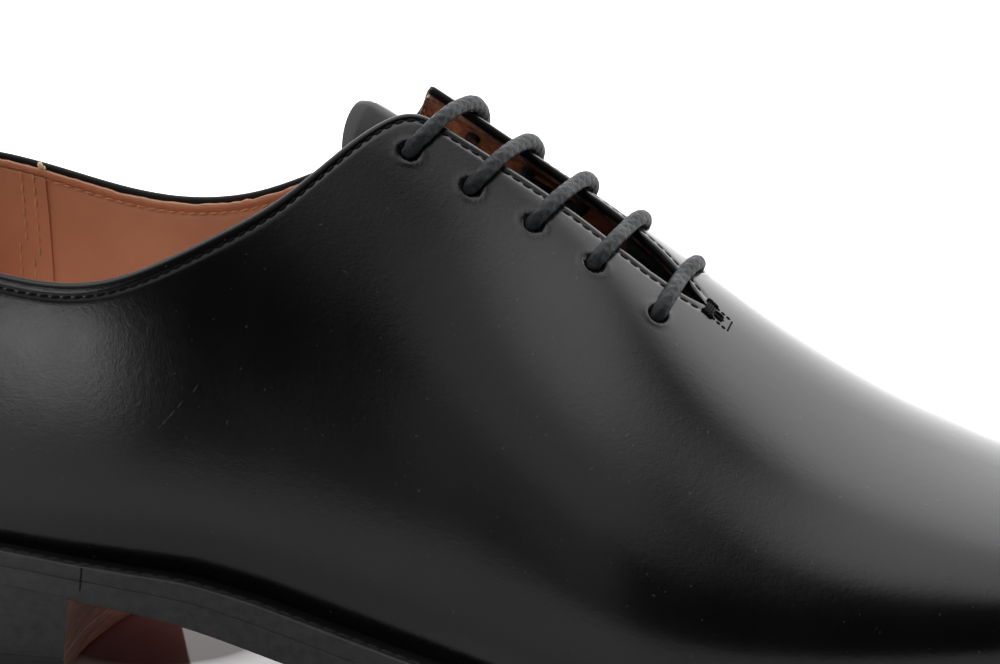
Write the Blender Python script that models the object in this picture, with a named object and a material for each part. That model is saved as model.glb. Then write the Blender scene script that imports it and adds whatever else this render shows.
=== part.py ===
"""Whole cut oxford, a man's right shoe, as the pieces that a shoemaker puts together.

Metres, +Z up, floor at Z 0. The heel points to -X, the toe to +X, and the lateral side is at -Y.
All shapes are drawn in shoe coordinates, with X from the back of the heel and Y from the heel's
axis, and one empty moves them so that the origin lies under the middle of the sole.
"""

import bmesh
import bpy
import numpy as np

MM = 0.001

# Driving sizes
SOLE_LENGTH = 302 * MM
TOE_TIP_Y = 2.5 * MM
WALL = 2.2 * MM
GAP = 0.3 * MM
WELD = 0.02 * MM
NUDGE = 0.01 * MM
PROBE = 1 * MM
SMOOTH_ANGLE = 0.6
INSOLE_GAP = 0.5 * MM
INSOLE_PROUD = 1.2 * MM
WELT_UNDER = 3.4 * MM
HEEL_AXIS_X = 36 * MM
WAIST_X = 120 * MM
TOE_AXIS_X = 262 * MM

# Half widths of the sole's edge on each side of the heel's axis
SOLE_COLUMNS = ("x", "lateral", "medial")
SOLE_ROWS = (
    (3.5, 15.0, 15.0),
    (12, 25.4, 25.2),
    (24, 31.4, 31.0),
    (40, 33.9, 33.2),
    (60, 33.8, 32.0),
    (80, 32.8, 29.0),
    (100, 31.8, 26.0),
    (120, 33.0, 24.8),
    (140, 37.2, 28.0),
    (160, 45.0, 36.0),
    (180, 51.0, 44.6),
    (200, 51.8, 49.2),
    (220, 49.2, 49.0),
    (240, 44.4, 45.6),
    (260, 37.6, 39.8),
    (276, 30.0, 32.8),
    (289, 21.2, 24.4),
    (297.5, 11.8, 15.4),
)

# Height of the outsole's underside from the heel seat to the ball, where it lies on the floor
ARCH_COLUMNS = ("x", "height")
ARCH_ROWS = (
    (0, 22.2),
    (36, 20.8),
    (55, 18.9),
    (68, 17.3),
    (80, 15.6),
    (92, 13.2),
    (105, 9.7),
    (116, 6.9),
    (128, 4.2),
    (140, 2.1),
    (154, 0.5),
    (164, 0.0),
    (174, 0.0),
    (184, 0.0),
)
FLAT_START = 164 * MM
FLAT_END = 204 * MM
TOE_SPRING = 11 * MM
TOE_SPRING_POWER = 1.75

# Thickness of the two layers that show at the sole's edge
EDGE_COLUMNS = ("x", "outsole", "welt")
EDGE_ROWS = (
    (0, 4.2, 2.9),
    (68, 4.2, 2.9),
    (80, 4.5, 3.1),
    (92, 5.2, 3.6),
    (105, 5.6, 3.9),
    (302, 5.6, 3.9),
)

# Sections of the last. Each side has the feather line's inset from the sole's edge, the bulge's
# reach over the feather line, the bulge's height above the welt, and how full the wall is above
# the bulge and beside the centre line. Ridge is the centre line's height, tilt its slope across.
LAST_COLUMNS = (
    "x", "lat_inset", "med_inset", "lat_over", "med_over", "lat_lift", "med_lift",
    "lat_side", "med_side", "lat_top", "med_top", "ridge", "centre", "tilt",
)
LAST_ROWS = (
    (0, 3.4, 3.4, 2.2, 2.2, 17, 17, 0.62, 0.62, 0.62, 0.62, 128.0, 0.0, 0.0),
    (36, 3.4, 3.4, 2.6, 2.6, 18, 18, 0.64, 0.62, 0.52, 0.54, 128.0, 0.0, 0.0),
    (68, 4.0, 3.8, 3.9, 4.6, 20, 20, 0.64, 0.62, 0.48, 0.50, 128.0, 0.0, 0.02),
    (95, 4.6, 3.6, 5.2, 8.0, 21, 24, 0.60, 0.60, 0.44, 0.48, 126.0, 0.0, 0.07),
    (120, 4.8, 3.6, 5.0, 10.5, 20, 26, 0.55, 0.58, 0.42, 0.48, 118.0, 0.0, 0.13),
    (137, 4.8, 3.8, 4.4, 9.5, 18, 24, 0.53, 0.57, 0.42, 0.50, 108.1, 0.0, 0.15),
    (156, 4.8, 4.4, 3.4, 6.5, 16, 19, 0.52, 0.56, 0.43, 0.52, 96.1, 0.0, 0.16),
    (172, 4.8, 4.8, 2.9, 4.2, 14, 16, 0.51, 0.55, 0.46, 0.54, 85.6, -2.5, 0.21),
    (190, 4.8, 4.8, 2.5, 2.8, 12, 13, 0.52, 0.55, 0.50, 0.56, 71.9, -5.0, 0.26),
    (212, 4.8, 4.8, 2.2, 2.4, 12, 12, 0.54, 0.56, 0.55, 0.58, 58.3, -3.5, 0.22),
    (237, 4.8, 4.8, 1.8, 2.0, 12, 12, 0.58, 0.58, 0.58, 0.60, 49.0, -0.5, 0.12),
    (262, 4.8, 4.8, 1.6, 1.8, 12, 12, 0.60, 0.60, 0.60, 0.60, 43.6, 2.0, 0.05),
    (302, 4.8, 4.8, 1.4, 1.4, 12, 12, 0.58, 0.58, 0.56, 0.56, 43.6, 2.0, 0.04),
)
FEATHER_REACH = 0.75
FEATHER_RISE = 0.30
BULGE_DROP = 0.50

# Height of the collar's edge on each side, from the back of the heel to the facings' corners
TOPLINE_COLUMNS = ("x", "lateral", "medial")
TOPLINE_ROWS = (
    (4, 93.0, 93.0),
    (16, 90.6, 92.4),
    (30, 85.3, 90.6),
    (42, 81.8, 88.0),
    (54, 79.4, 85.2),
    (66, 78.2, 83.6),
    (76, 79.4, 83.9),
    (86, 83.2, 86.0),
    (98, 89.4, 90.8),
    (110, 97.2, 96.6),
    (119, 105.2, 102.8),
    (124, 108.8, 107.9),
    (128, 110.6, 113.6),
    (132, 111.4, 117.0),
)
TOPLINE_LAST_X = 134 * MM

# Half width of the open throat between the facings
THROAT_COLUMNS = ("x", "gap")
THROAT_ROWS = (
    (118, 6.6),
    (130, 6.0),
    (140, 5.6),
    (156, 5.1),
    (168, 4.8),
    (174.5, 3.9),
    (179.5, 2.1),
    (183.5, 0.0),
)
THROAT_END_X = 183.5 * MM
CORNER_SHARPNESS = 450.0

# Eyelets, counted from the throat's end up to the facings' corners, and lace
EYELET_COLUMNS = ("pair", "lateral", "medial", "out")
EYELET_ROWS = (
    (0, 178.2, 179.4, 11.8),
    (1, 165.6, 168.1, 12.6),
    (2, 153.6, 157.1, 13.0),
    (3, 141.7, 146.3, 13.0),
    (4, 129.8, 135.5, 13.0),
)
EYELET_DIAMETER = 3.7 * MM
EYELET_SIDES = 12
EYELET_CUT_DEPTH = 5 * MM
LACE_DIAMETER = 3.0 * MM
LACE_UNDER = 4.5 * MM
LACE_RUN_OUT = 0.34
LACE_SIDE_STEPS = 2

# Half of one bar: share of the way from the centre line to the eyelet, and height over the skin
LACE_BAR_COLUMNS = ("share", "height")
LACE_BAR_ROWS = (
    (1.0, -3.5),
    (1.0, -1.0),
    (0.99, 1.0),
    (0.88, 2.5),
    (0.65, 2.5),
    (0.3, 2.0),
    (0.0, 1.7),
)

# Tongue: middle and half width of the leather strip along the last's girth from its centre line,
# and how deep it lies under the last's skin, with room for the lace between the two
TONGUE_COLUMNS = ("x", "middle", "half_width", "drop")
TONGUE_ROWS = (
    (112, -10.0, 19.0, 8.2),
    (119, -10.0, 19.5, 8.2),
    (125, -9.5, 20.0, 8.3),
    (131, -8.5, 20.0, 8.2),
    (150, -5.0, 18.5, 7.6),
    (170, -2.0, 15.5, 7.4),
    (184, -1.0, 14.0, 6.8),
    (190, -0.7, 13.5, 4.6),
    (196, -0.5, 13.0, 2.6),
)
TONGUE_TOP_X = 118.5 * MM
TONGUE_END_X = 196 * MM
TONGUE_ROUND = 5 * MM
TONGUE_ROUND_SPAN = 0.97
TONGUE_SLANT = 3.5 * MM
TONGUE_THICK = 1.8 * MM

# Heel block
BREAST_X = 68 * MM
BREAST_SAG = 4 * MM
BREAST_RAKE = 2.3 * MM
BREAST_BEND = 3
HEEL_TAPER = 2.4 * MM
TOP_PIECE_THICK = 5 * MM
LIFTS = 3

# How finely the skins are cut into faces
HEEL_COLUMNS = 13
TOE_COLUMNS = 17
QUARTER_STEP = 6.4 * MM
WALL_ROWS = 13
LOW_ROWS = 4
LOW_SHARE = 0.16
END_STEPS = 10
HEEL_GRID = (9, 6)
TONGUE_GRID = (13, 8)
OUTLINE_SAMPLES = 4001
RIB_SAMPLES = 401


def clear_scene():
    for item in list(bpy.data.objects):
        bpy.data.objects.remove(item, do_unlink=True)


def cubic_spline(knots, values, closed=False):
    """A smooth curve through the values, natural at its ends or closed on itself."""
    knots = np.asarray(knots, float)
    values = np.asarray(values, float)
    count = len(knots)
    step = np.diff(knots)
    matrix = np.zeros((count, count))
    right = np.zeros((count,) + values.shape[1:])
    for i in range(1, count - 1):
        matrix[i, i - 1:i + 2] = step[i - 1], 2 * (step[i - 1] + step[i]), step[i]
        right[i] = 6 * ((values[i + 1] - values[i]) / step[i] - (values[i] - values[i - 1]) / step[i - 1])
    if closed:
        matrix[0, 0] = 1
        matrix[0, -1] = -1
        matrix[-1, 0] = 2 * step[0]
        matrix[-1, 1] = step[0]
        matrix[-1, -1] = 2 * step[-1]
        matrix[-1, -2] = step[-1]
        right[-1] = 6 * ((values[1] - values[0]) / step[0] - (values[-1] - values[-2]) / step[-1])
    else:
        matrix[0, 0] = 1
        matrix[-1, -1] = 1
    bend = np.linalg.solve(matrix, right)

    def curve(x):
        x = np.asarray(x, float)
        i = np.clip(np.searchsorted(knots, x, side="right") - 1, 0, count - 2)
        t = x - knots[i]
        h = step[i]
        if values.ndim > 1:
            t = t[..., None]
            h = h[..., None]
        slope = (values[i + 1] - values[i]) / h - h * (2 * bend[i] + bend[i + 1]) / 6
        return values[i] + slope * t + bend[i] / 2 * t ** 2 + (bend[i + 1] - bend[i]) / (6 * h) * t ** 3

    return curve


def column(rows, columns, name):
    """One column of a table, in metres."""
    return np.array([row[columns.index(name)] for row in rows], float) * MM


def smooth_column(rows, columns, name):
    return cubic_spline(column(rows, columns, "x"), column(rows, columns, name))


def straight_column(rows, columns, name, x):
    return np.interp(x, column(rows, columns, "x"), column(rows, columns, name))


# The sole's edge as one closed curve, from the back of the heel along the lateral side
def closed_edge():
    x = column(SOLE_ROWS, SOLE_COLUMNS, "x")
    lateral = np.column_stack([x, -column(SOLE_ROWS, SOLE_COLUMNS, "lateral")])
    medial = np.column_stack([x, column(SOLE_ROWS, SOLE_COLUMNS, "medial")])[::-1]
    back = np.zeros((1, 2))
    tip = np.array([[SOLE_LENGTH, TOE_TIP_Y]])
    points = np.concatenate([back, lateral, tip, medial, back])
    along = np.concatenate([[0], np.cumsum(np.hypot(*np.diff(points, axis=0).T))])
    return cubic_spline(along, points, closed=True), along[-1], along[len(lateral) + 1]


EDGE, EDGE_LENGTH, TIP_AT = closed_edge()
EDGE_AT = np.linspace(0, EDGE_LENGTH, OUTLINE_SAMPLES)
EDGE_POINTS = EDGE(EDGE_AT)
ORIGIN_X = (EDGE_POINTS[:, 0].min() + EDGE_POINTS[:, 0].max()) / 2
ORIGIN_Y = (EDGE_POINTS[:, 1].min() + EDGE_POINTS[:, 1].max()) / 2


def edge_point(at):
    """A point of the sole's edge and the direction that faces outward there."""
    point = EDGE(np.mod(at, EDGE_LENGTH))
    way = EDGE(np.mod(at + NUDGE, EDGE_LENGTH)) - EDGE(np.mod(at - NUDGE, EDGE_LENGTH))
    way = way / np.hypot(way[0], way[1])
    return point, np.array([way[1], -way[0]])


def edge_at(x, side):
    """Where the sole's edge reaches x, on the lateral side (-1) or the medial side (1)."""
    if side < 0:
        part = EDGE_AT <= TIP_AT
        return float(np.interp(x, EDGE_POINTS[part, 0], EDGE_AT[part]))
    part = EDGE_AT >= TIP_AT
    return float(np.interp(x, EDGE_POINTS[part, 0][::-1], EDGE_AT[part][::-1]))


ARCH = smooth_column(ARCH_ROWS, ARCH_COLUMNS, "height")


def sole_bottom(x):
    """Height of the outsole's underside: heel seat, arch, flat ball and toe spring."""
    arch = np.maximum(ARCH(np.clip(x, 0, FLAT_START)), 0)
    spring = np.clip((x - FLAT_END) / (SOLE_LENGTH - FLAT_END), 0, 1) ** TOE_SPRING_POWER
    return float(np.where(x < FLAT_START, arch, TOE_SPRING * spring))


def outsole_top(x):
    return sole_bottom(x) + float(straight_column(EDGE_ROWS, EDGE_COLUMNS, "outsole", x))


def welt_top(x):
    return outsole_top(x) + float(straight_column(EDGE_ROWS, EDGE_COLUMNS, "welt", x))


LAST = {name: smooth_column(LAST_ROWS, LAST_COLUMNS, name) for name in LAST_COLUMNS}
SHARES = ("side", "top", "tilt")
END_WIDTH = 33 * MM


def last_size(name, x):
    value = float(LAST[name](x))
    return value / MM if name.endswith(SHARES) else value


def sided_size(name, x, y, side):
    """A size of the last that differs between the sides and blends round the heel and the toe."""
    lateral = last_size("lat_" + name, x)
    medial = last_size("med_" + name, x)
    if HEEL_AXIS_X <= x <= TOE_AXIS_X:
        return lateral if side < 0 else medial
    middle = TOE_TIP_Y if x > TOE_AXIS_X else 0.0
    share = 0.5 + 0.5 * np.clip((y - middle) / END_WIDTH, -1, 1)
    return lateral + (medial - lateral) * share


def bezier(a, b, c, d, t):
    return (1 - t) ** 3 * a + 3 * (1 - t) ** 2 * t * b + 3 * (1 - t) * t ** 2 * c + t ** 3 * d


def rib(at, samples=RIB_SAMPLES):
    """One rib of the last, from the feather line over the bulge to the centre line."""
    at = at % EDGE_LENGTH
    side = -1 if at <= TIP_AT else 1
    edge, out = edge_point(at)
    x = edge[0]
    inset = sided_size("inset", x, edge[1], side)
    over = sided_size("over", x, edge[1], side)
    low = edge - inset * out
    wide = edge - (inset - over) * out
    feather = np.array([low[0], low[1], welt_top(low[0]) + GAP])
    bulge = np.array([wide[0], wide[1], welt_top(wide[0]) + sided_size("lift", x, edge[1], side)])
    axis_x = min(max(x, HEEL_AXIS_X), TOE_AXIS_X)
    top = np.array([axis_x, last_size("centre", axis_x), last_size("ridge", axis_x)])
    slope = ridge_slope(x)
    reach = bulge - top
    high = top[2] + slope * reach[0]
    above = bulge + np.array([0, 0, sided_size("side", x, edge[1], side) * (high - bulge[2])])
    rise = slope * reach[0] + last_size("tilt", axis_x) * reach[1]
    beside = top + sided_size("top", x, edge[1], side) * np.array([reach[0], reach[1], rise])
    climb = bulge - feather
    out_of_feather = feather + climb * np.array([FEATHER_REACH, FEATHER_REACH, FEATHER_RISE])
    under_bulge = bulge - np.array([0, 0, BULGE_DROP * climb[2]])
    t = np.linspace(0, 1, samples)[:, None]
    lower = bezier(feather, out_of_feather, under_bulge, bulge, t)
    upper = bezier(bulge, above, beside, top, t)
    return np.concatenate([lower, upper[1:]])


def ridge_slope(x):
    """Slope along the centre line that the ribs round the heel and the toe lean on."""
    if x < HEEL_AXIS_X:
        return (last_size("ridge", HEEL_AXIS_X + PROBE) - last_size("ridge", HEEL_AXIS_X)) / PROBE
    if x > TOE_AXIS_X:
        return (last_size("ridge", TOE_AXIS_X) - last_size("ridge", TOE_AXIS_X - PROBE)) / PROBE
    return 0.0


def girth(points):
    """Distance along a row of points from the first one."""
    return np.concatenate([[0], np.cumsum(np.linalg.norm(np.diff(points, axis=0), axis=1))])


def along_points(points, where):
    distance = girth(points)
    return np.column_stack([np.interp(where, distance, points[:, k]) for k in range(3)])


TOPLINES = {
    -1: smooth_column(TOPLINE_ROWS, TOPLINE_COLUMNS, "lateral"),
    1: smooth_column(TOPLINE_ROWS, TOPLINE_COLUMNS, "medial"),
}


def first_crossing(distance, height):
    """Where a row of heights first rises past zero, or the row's end."""
    above = np.nonzero(height > 0)[0]
    if len(above) == 0 or above[0] == 0:
        return distance[-1]
    i = above[0]
    share = -height[i - 1] / (height[i] - height[i - 1])
    return distance[i - 1] + share * (distance[i] - distance[i - 1])


def leather_girth(points, at):
    """How far up its rib the leather reaches: to the collar, to the throat or all the way."""
    side = -1 if at % EDGE_LENGTH <= TIP_AT else 1
    x = edge_point(at)[0][0]
    distance = girth(points)
    if x >= THROAT_END_X:
        return distance[-1]
    reach = distance[-1]
    if x > HEEL_AXIS_X:
        centre = last_size("centre", x)
        gap = straight_column(THROAT_ROWS, THROAT_COLUMNS, "gap", x)
        reach = first_crossing(distance, gap - side * (points[:, 1] - centre))
    if x < TOPLINE_LAST_X:
        edge = TOPLINES[side](np.clip(points[:, 0], column(TOPLINE_ROWS, TOPLINE_COLUMNS, "x")[0], None))
        collar = first_crossing(distance, points[:, 2] - edge)
        reach = soft_least(reach, collar)
    return reach


def soft_least(a, b):
    """The lesser of two lengths, rounded where they meet, as at the facing's corner."""
    least = min(a, b)
    over = np.array([a - least, b - least]) * CORNER_SHARPNESS
    return least - np.log(np.exp(-over).sum()) / CORNER_SHARPNESS


def column_stations():
    """Where the ribs stand: round the heel, along the quarters and vamp, and round the toe."""
    spans = ((HEEL_AXIS_X, WAIST_X), (WAIST_X, THROAT_END_X), (THROAT_END_X, TOE_AXIS_X))
    xs = []
    for start, end in spans:
        count = int(round((end - start) / QUARTER_STEP))
        xs.extend(np.linspace(start, end, count, endpoint=False))
    xs.append(TOE_AXIS_X)
    lateral = [edge_at(x, -1) for x in xs]
    medial = [edge_at(x, 1) for x in reversed(xs)]
    toe = np.linspace(lateral[-1], medial[0], TOE_COLUMNS + 2)[1:-1]
    heel = np.linspace(medial[-1], lateral[0] + EDGE_LENGTH, HEEL_COLUMNS + 2)[1:-1]
    return lateral + list(toe) + medial + list(heel)


def row_shares():
    """Heights of the wall's rows, as shares of each rib's leather, closer near the welt."""
    low = np.linspace(0, LOW_SHARE, LOW_ROWS, endpoint=False)
    high = np.linspace(LOW_SHARE, 1, WALL_ROWS - LOW_ROWS + 1)
    return np.concatenate([low, high])


def new_object(name, bm, material):
    mesh = bpy.data.meshes.new(name)
    bm.normal_update()
    bm.to_mesh(mesh)
    bm.free()
    obj = bpy.data.objects.new(name, mesh)
    bpy.context.scene.collection.objects.link(obj)
    mesh.shade_smooth()
    mesh.set_sharp_from_angle(angle=SMOOTH_ANGLE)
    if material is not None:
        mesh.materials.append(material)
    return obj


def material(name, colour, roughness, coat=0.0):
    mat = bpy.data.materials.new(name)
    mat.use_nodes = True
    shader = mat.node_tree.nodes["Principled BSDF"]
    shader.inputs["Base Color"].default_value = (*colour, 1)
    shader.inputs["Roughness"].default_value = roughness
    shader.inputs["Metallic"].default_value = 0.0
    shader.inputs["Coat Weight"].default_value = coat
    return mat


def grid_faces(bm, grid, closed=False):
    """Joins neighbouring rows of corners with faces, leaving out corners that coincide."""
    rows = grid + [grid[0]] if closed else grid
    for left, right in zip(rows[:-1], rows[1:]):
        for k in range(len(left) - 1):
            corners = []
            for corner in (left[k], right[k], right[k + 1], left[k + 1]):
                if corner not in corners:
                    corners.append(corner)
            if len(corners) > 2:
                bm.faces.new(corners)


def build_upper(leather):
    """One skin over the last, open at the collar, throat and sole, thickened inward to a wall."""
    bm = bmesh.new()
    shares = row_shares()
    grid = []
    for at in column_stations():
        points = rib(at)
        row = along_points(points, shares * leather_girth(points, at))
        grid.append([bm.verts.new(p) for p in row])
    grid_faces(bm, grid, closed=True)
    bmesh.ops.remove_doubles(bm, verts=bm.verts, dist=WELD)
    upper = new_object("upper", bm, leather)
    wall = upper.modifiers.new("wall", "SOLIDIFY")
    wall.thickness = WALL
    wall.offset = -1
    wall.use_even_offset = False
    holes = build_eyelet_cutter()
    cut = upper.modifiers.new("eyelets", "BOOLEAN")
    cut.operation = "DIFFERENCE"
    cut.solver = "EXACT"
    cut.object = holes
    return upper


def skin_point(x, y):
    """The last's surface above a place in plan, with the direction that faces out of it."""
    def surface(px, py):
        centre = last_size("centre", px)
        points = rib(edge_at(px, -1 if py < centre else 1))
        half = points[len(points) // 2:]
        order = np.argsort(half[:, 1])
        return np.array([px, py, np.interp(py, half[order, 1], half[order, 2])])

    along = surface(x + PROBE, y) - surface(x - PROBE, y)
    across = surface(x, y + PROBE) - surface(x, y - PROBE)
    normal = np.cross(along, across)
    return surface(x, y), normal / np.linalg.norm(normal)


def eyelet_stations():
    """Each pair's places along the shoe and reach from the centre line, from the throat's end up."""
    return list(zip(*[column(EYELET_ROWS, EYELET_COLUMNS, name) for name in ("lateral", "medial", "out")]))


def facing_point(stations, share):
    """A place across the throat: share -1 at the lateral eyelet, 0 between, 1 at the medial one."""
    lateral, medial, out = stations
    x = lateral + (medial - lateral) * (share + 1) / 2
    return skin_point(x, last_size("centre", x) + share * out)


def ring_corners(middle, normal, radius, sides):
    """Corners of a round ring across a direction."""
    helper = np.array([1.0, 0.0, 0.0])
    first = np.cross(normal, helper)
    first /= np.linalg.norm(first)
    second = np.cross(normal, first)
    turn = np.arange(sides) * 2 * np.pi / sides
    return [middle + radius * (np.cos(a) * first + np.sin(a) * second) for a in turn]


def build_eyelet_cutter():
    """Round rods that punch the eyelets out of the facings."""
    bm = bmesh.new()
    radius = EYELET_DIAMETER / 2
    for stations in eyelet_stations():
        for side in (-1, 1):
            place, normal = facing_point(stations, side)
            ends = []
            for depth in (-EYELET_CUT_DEPTH, EYELET_CUT_DEPTH):
                corners = ring_corners(place + depth * normal, normal, radius, EYELET_SIDES)
                ends.append([bm.verts.new(p) for p in corners])
            bottom, top = ends
            for k in range(EYELET_SIDES):
                n = (k + 1) % EYELET_SIDES
                bm.faces.new([bottom[k], bottom[n], top[n], top[k]])
            bm.faces.new(bottom[::-1])
            bm.faces.new(top)
    bmesh.ops.recalc_face_normals(bm, faces=bm.faces)
    cutter = new_object("eyelet_cutter", bm, None)
    cutter.hide_render = True
    cutter.display_type = "WIRE"
    return cutter


def lace_route():
    """One lace: a hidden run down to the first eyelet, five bars over the throat, links below."""
    pairs = eyelet_stations()

    def under_skin(first, second, side, out):
        stations = [(a + b) / 2 for a, b in zip(first, second)]
        point, normal = facing_point(stations, side * (1 + out))
        return point - LACE_UNDER * normal

    shares = column(LACE_BAR_ROWS, LACE_BAR_COLUMNS, "share") / MM
    heights = column(LACE_BAR_ROWS, LACE_BAR_COLUMNS, "height")

    def half_bar(stations, side):
        bar = []
        for share, height in zip(shares, heights):
            point, normal = facing_point(stations, side * share)
            bar.append(point + height * normal)
        return bar

    route = [under_skin(pair, pair, -1, LACE_RUN_OUT) for pair in pairs[:0:-1]]
    route.append(under_skin(pairs[0], pairs[1], -1, LACE_RUN_OUT / 2))
    side = -1
    for i, stations in enumerate(pairs):
        route.extend(half_bar(stations, side))
        route.extend(half_bar(stations, -side)[-2::-1])
        side = -side
        if i + 1 < len(pairs):
            route.append(under_skin(stations, pairs[i + 1], side, 0.0))
    return np.array(route)


def build_lace(waxed):
    """The lace as one round cord that clears the leather, the eyelets and the tongue."""
    route = lace_route()
    along = girth(route)
    smooth = cubic_spline(along, route)
    places = []
    for a, b in zip(along[:-1], along[1:]):
        places.extend(np.linspace(a, b, LACE_SIDE_STEPS, endpoint=False))
    places.append(along[-1])
    points = smooth(np.array(places))
    curve = bpy.data.curves.new("lace", "CURVE")
    curve.dimensions = "3D"
    spline = curve.splines.new("POLY")
    spline.points.add(len(points) - 1)
    for target, point in zip(spline.points, points):
        target.co = (*point, 1)
    curve.bevel_depth = LACE_DIAMETER / 2
    curve.bevel_resolution = 2
    curve.use_fill_caps = True
    curve.materials.append(waxed)
    lace = bpy.data.objects.new("lace", curve)
    bpy.context.scene.collection.objects.link(lace)
    return lace


def across_ribs(x, where):
    """A point and its outward direction on the last, by girth from the centre line at x."""
    side = -1 if where < 0 else 1
    rows = []
    for dx in (-PROBE, 0, PROBE):
        points = rib(edge_at(x + dx, side))[::-1]
        rows.append(along_points(points, abs(where) + np.array([-PROBE, 0, PROBE])))
    along = rows[2][1] - rows[0][1]
    across = (rows[1][2] - rows[1][0]) * side
    normal = np.cross(along, across)
    return rows[1][1], normal / np.linalg.norm(normal)


def build_tongue(leather):
    """A leather strip under the facings, slid toward the lateral side as it lies when unlaced."""
    middle = smooth_column(TONGUE_ROWS, TONGUE_COLUMNS, "middle")
    half = smooth_column(TONGUE_ROWS, TONGUE_COLUMNS, "half_width")
    drop = smooth_column(TONGUE_ROWS, TONGUE_COLUMNS, "drop")
    steps, strips = TONGUE_GRID
    bm = bmesh.new()
    top_grid = []
    low_grid = []
    for t in np.linspace(-1, 1, strips + 1):
        corner = 1 - np.sqrt(1 - (TONGUE_ROUND_SPAN * t) ** 2)
        start = TONGUE_TOP_X + TONGUE_SLANT * t + TONGUE_ROUND * corner
        top_row = []
        low_row = []
        for u in np.linspace(0, 1, steps + 1):
            x = start + (TONGUE_END_X - start) * u
            point, normal = across_ribs(x, float(middle(x) + t * half(x)))
            top_row.append(bm.verts.new(point - drop(x) * normal))
            low_row.append(bm.verts.new(point - (drop(x) + TONGUE_THICK) * normal))
        top_grid.append(top_row)
        low_grid.append(low_row)
    close_plate(bm, top_grid, low_grid)
    return new_object("tongue", bm, leather)


def close_plate(bm, top_grid, low_grid):
    """Faces over, under and round two matching grids of corners."""
    grid_faces(bm, top_grid)
    grid_faces(bm, low_grid)
    rims = [(top_grid[0], low_grid[0]), (top_grid[-1], low_grid[-1])]
    rims.append(([row[0] for row in top_grid], [row[0] for row in low_grid]))
    rims.append(([row[-1] for row in top_grid], [row[-1] for row in low_grid]))
    for top_row, low_row in rims:
        for k in range(len(top_row) - 1):
            corners = []
            for corner in (top_row[k], top_row[k + 1], low_row[k + 1], low_row[k]):
                if corner not in corners:
                    corners.append(corner)
            if len(corners) > 2:
                bm.faces.new(corners)
    bmesh.ops.recalc_face_normals(bm, faces=bm.faces)


def plate_stations():
    """Places along the shoe, close together round the heel and the toe."""
    turn = np.linspace(0, np.pi / 2, END_STEPS + 1)
    heel = HEEL_AXIS_X * (1 - np.cos(turn))
    toe = TOE_AXIS_X + (SOLE_LENGTH - TOE_AXIS_X) * np.sin(turn)
    middle = [HEEL_AXIS_X]
    for knot in (FLAT_START, FLAT_END, TOE_AXIS_X):
        count = int(round((knot - middle[-1]) / QUARTER_STEP))
        middle.extend(np.linspace(middle[-1], knot, count + 1)[1:])
    return list(heel[:-1]) + middle + list(toe[1:])


def inset_point(x, side, inset):
    edge, out = edge_point(edge_at(x, side))
    return edge - inset * out


def feather_inset(x, side):
    edge = edge_point(edge_at(x, side))[0]
    return sided_size("inset", edge[0], edge[1], side)


def build_plate(name, leather, inset, low, high):
    """A layer of the sole as wide as the sole's edge less an inset, between two height curves."""
    bm = bmesh.new()
    xs = plate_stations()
    top_grid = []
    low_grid = []
    for x in xs:
        ends = [inset_point(x, side, inset(x, side)) for side in (-1, 1)]
        if x in (xs[0], xs[-1]):
            middle = (ends[0] + ends[1]) / 2
            ends = [middle]
        top_grid.append([bm.verts.new((*p, high(p[0]))) for p in ends])
        low_grid.append([bm.verts.new((*p, low(p[0]))) for p in ends])
    for grid in (top_grid, low_grid):
        grid[0] = grid[0] * 2
        grid[-1] = grid[-1] * 2
    close_plate(bm, top_grid, low_grid)
    return new_object(name, bm, leather)


def build_welt(leather):
    """The strip between outsole and upper, a flat ring that the upper's edge stands on."""
    bm = bmesh.new()
    xs = plate_stations()
    loop = [(x, -1) for x in xs] + [(x, 1) for x in reversed(xs[1:-1])]
    rings = []
    for x, side in loop:
        outer = inset_point(x, side, 0.0)
        inner = inset_point(x, side, feather_inset(x, side) + WELT_UNDER)
        corners = [(*outer, outsole_top(outer[0]) + GAP), (*outer, welt_top(outer[0]))]
        corners += [(*inner, welt_top(inner[0])), (*inner, outsole_top(inner[0]) + GAP)]
        ring = [bm.verts.new(c) for c in corners]
        rings.append(ring + [ring[0]])
    rings.append(rings[0])
    for left, right in zip(rings[:-1], rings[1:]):
        for k in range(4):
            bm.faces.new([left[k], right[k], right[k + 1], left[k + 1]])
    bmesh.ops.recalc_face_normals(bm, faces=bm.faces)
    return new_object("welt", bm, leather)


def heel_corner(u, w, level):
    """A corner of the heel block: u from back to breast, w across, level from floor to sole."""
    bulge = 1 - w * w
    x_side = BREAST_X * u
    inset = HEEL_TAPER * (1 - level)
    lateral = inset_point(x_side, -1, inset)
    medial = inset_point(x_side, 1, inset)
    plan = (lateral + medial) / 2 + (medial - lateral) / 2 * w
    plan[0] -= (BREAST_SAG * bulge + BREAST_RAKE * (1 - level)) * u ** BREAST_BEND
    return plan


def build_heel(name, leather, low_level, high_level):
    """One layer of the heel between two levels, 0 for the top piece's floor face, 1 at the sole."""
    def height(x, level):
        if level <= 0:
            return 0.0
        return TOP_PIECE_THICK + (sole_bottom(x) - TOP_PIECE_THICK) * (level - 1) / LIFTS

    steps, strips = HEEL_GRID
    bm = bmesh.new()
    top_grid = []
    low_grid = []
    turn = np.linspace(0, np.pi / 2, steps + 1)
    for w in np.linspace(-1, 1, strips + 1):
        top_row = []
        low_row = []
        for u in 1 - np.cos(turn):
            for row, level, gap in ((top_row, high_level, GAP), (low_row, low_level, 0.0)):
                plan = heel_corner(u, w, level / (LIFTS + 1))
                row.append(bm.verts.new((*plan, height(plan[0], level) - gap)))
        top_grid.append(top_row)
        low_grid.append(low_row)
    close_plate(bm, top_grid, low_grid)
    bmesh.ops.remove_doubles(bm, verts=bm.verts, dist=WELD)
    return new_object(name, bm, leather)


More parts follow.
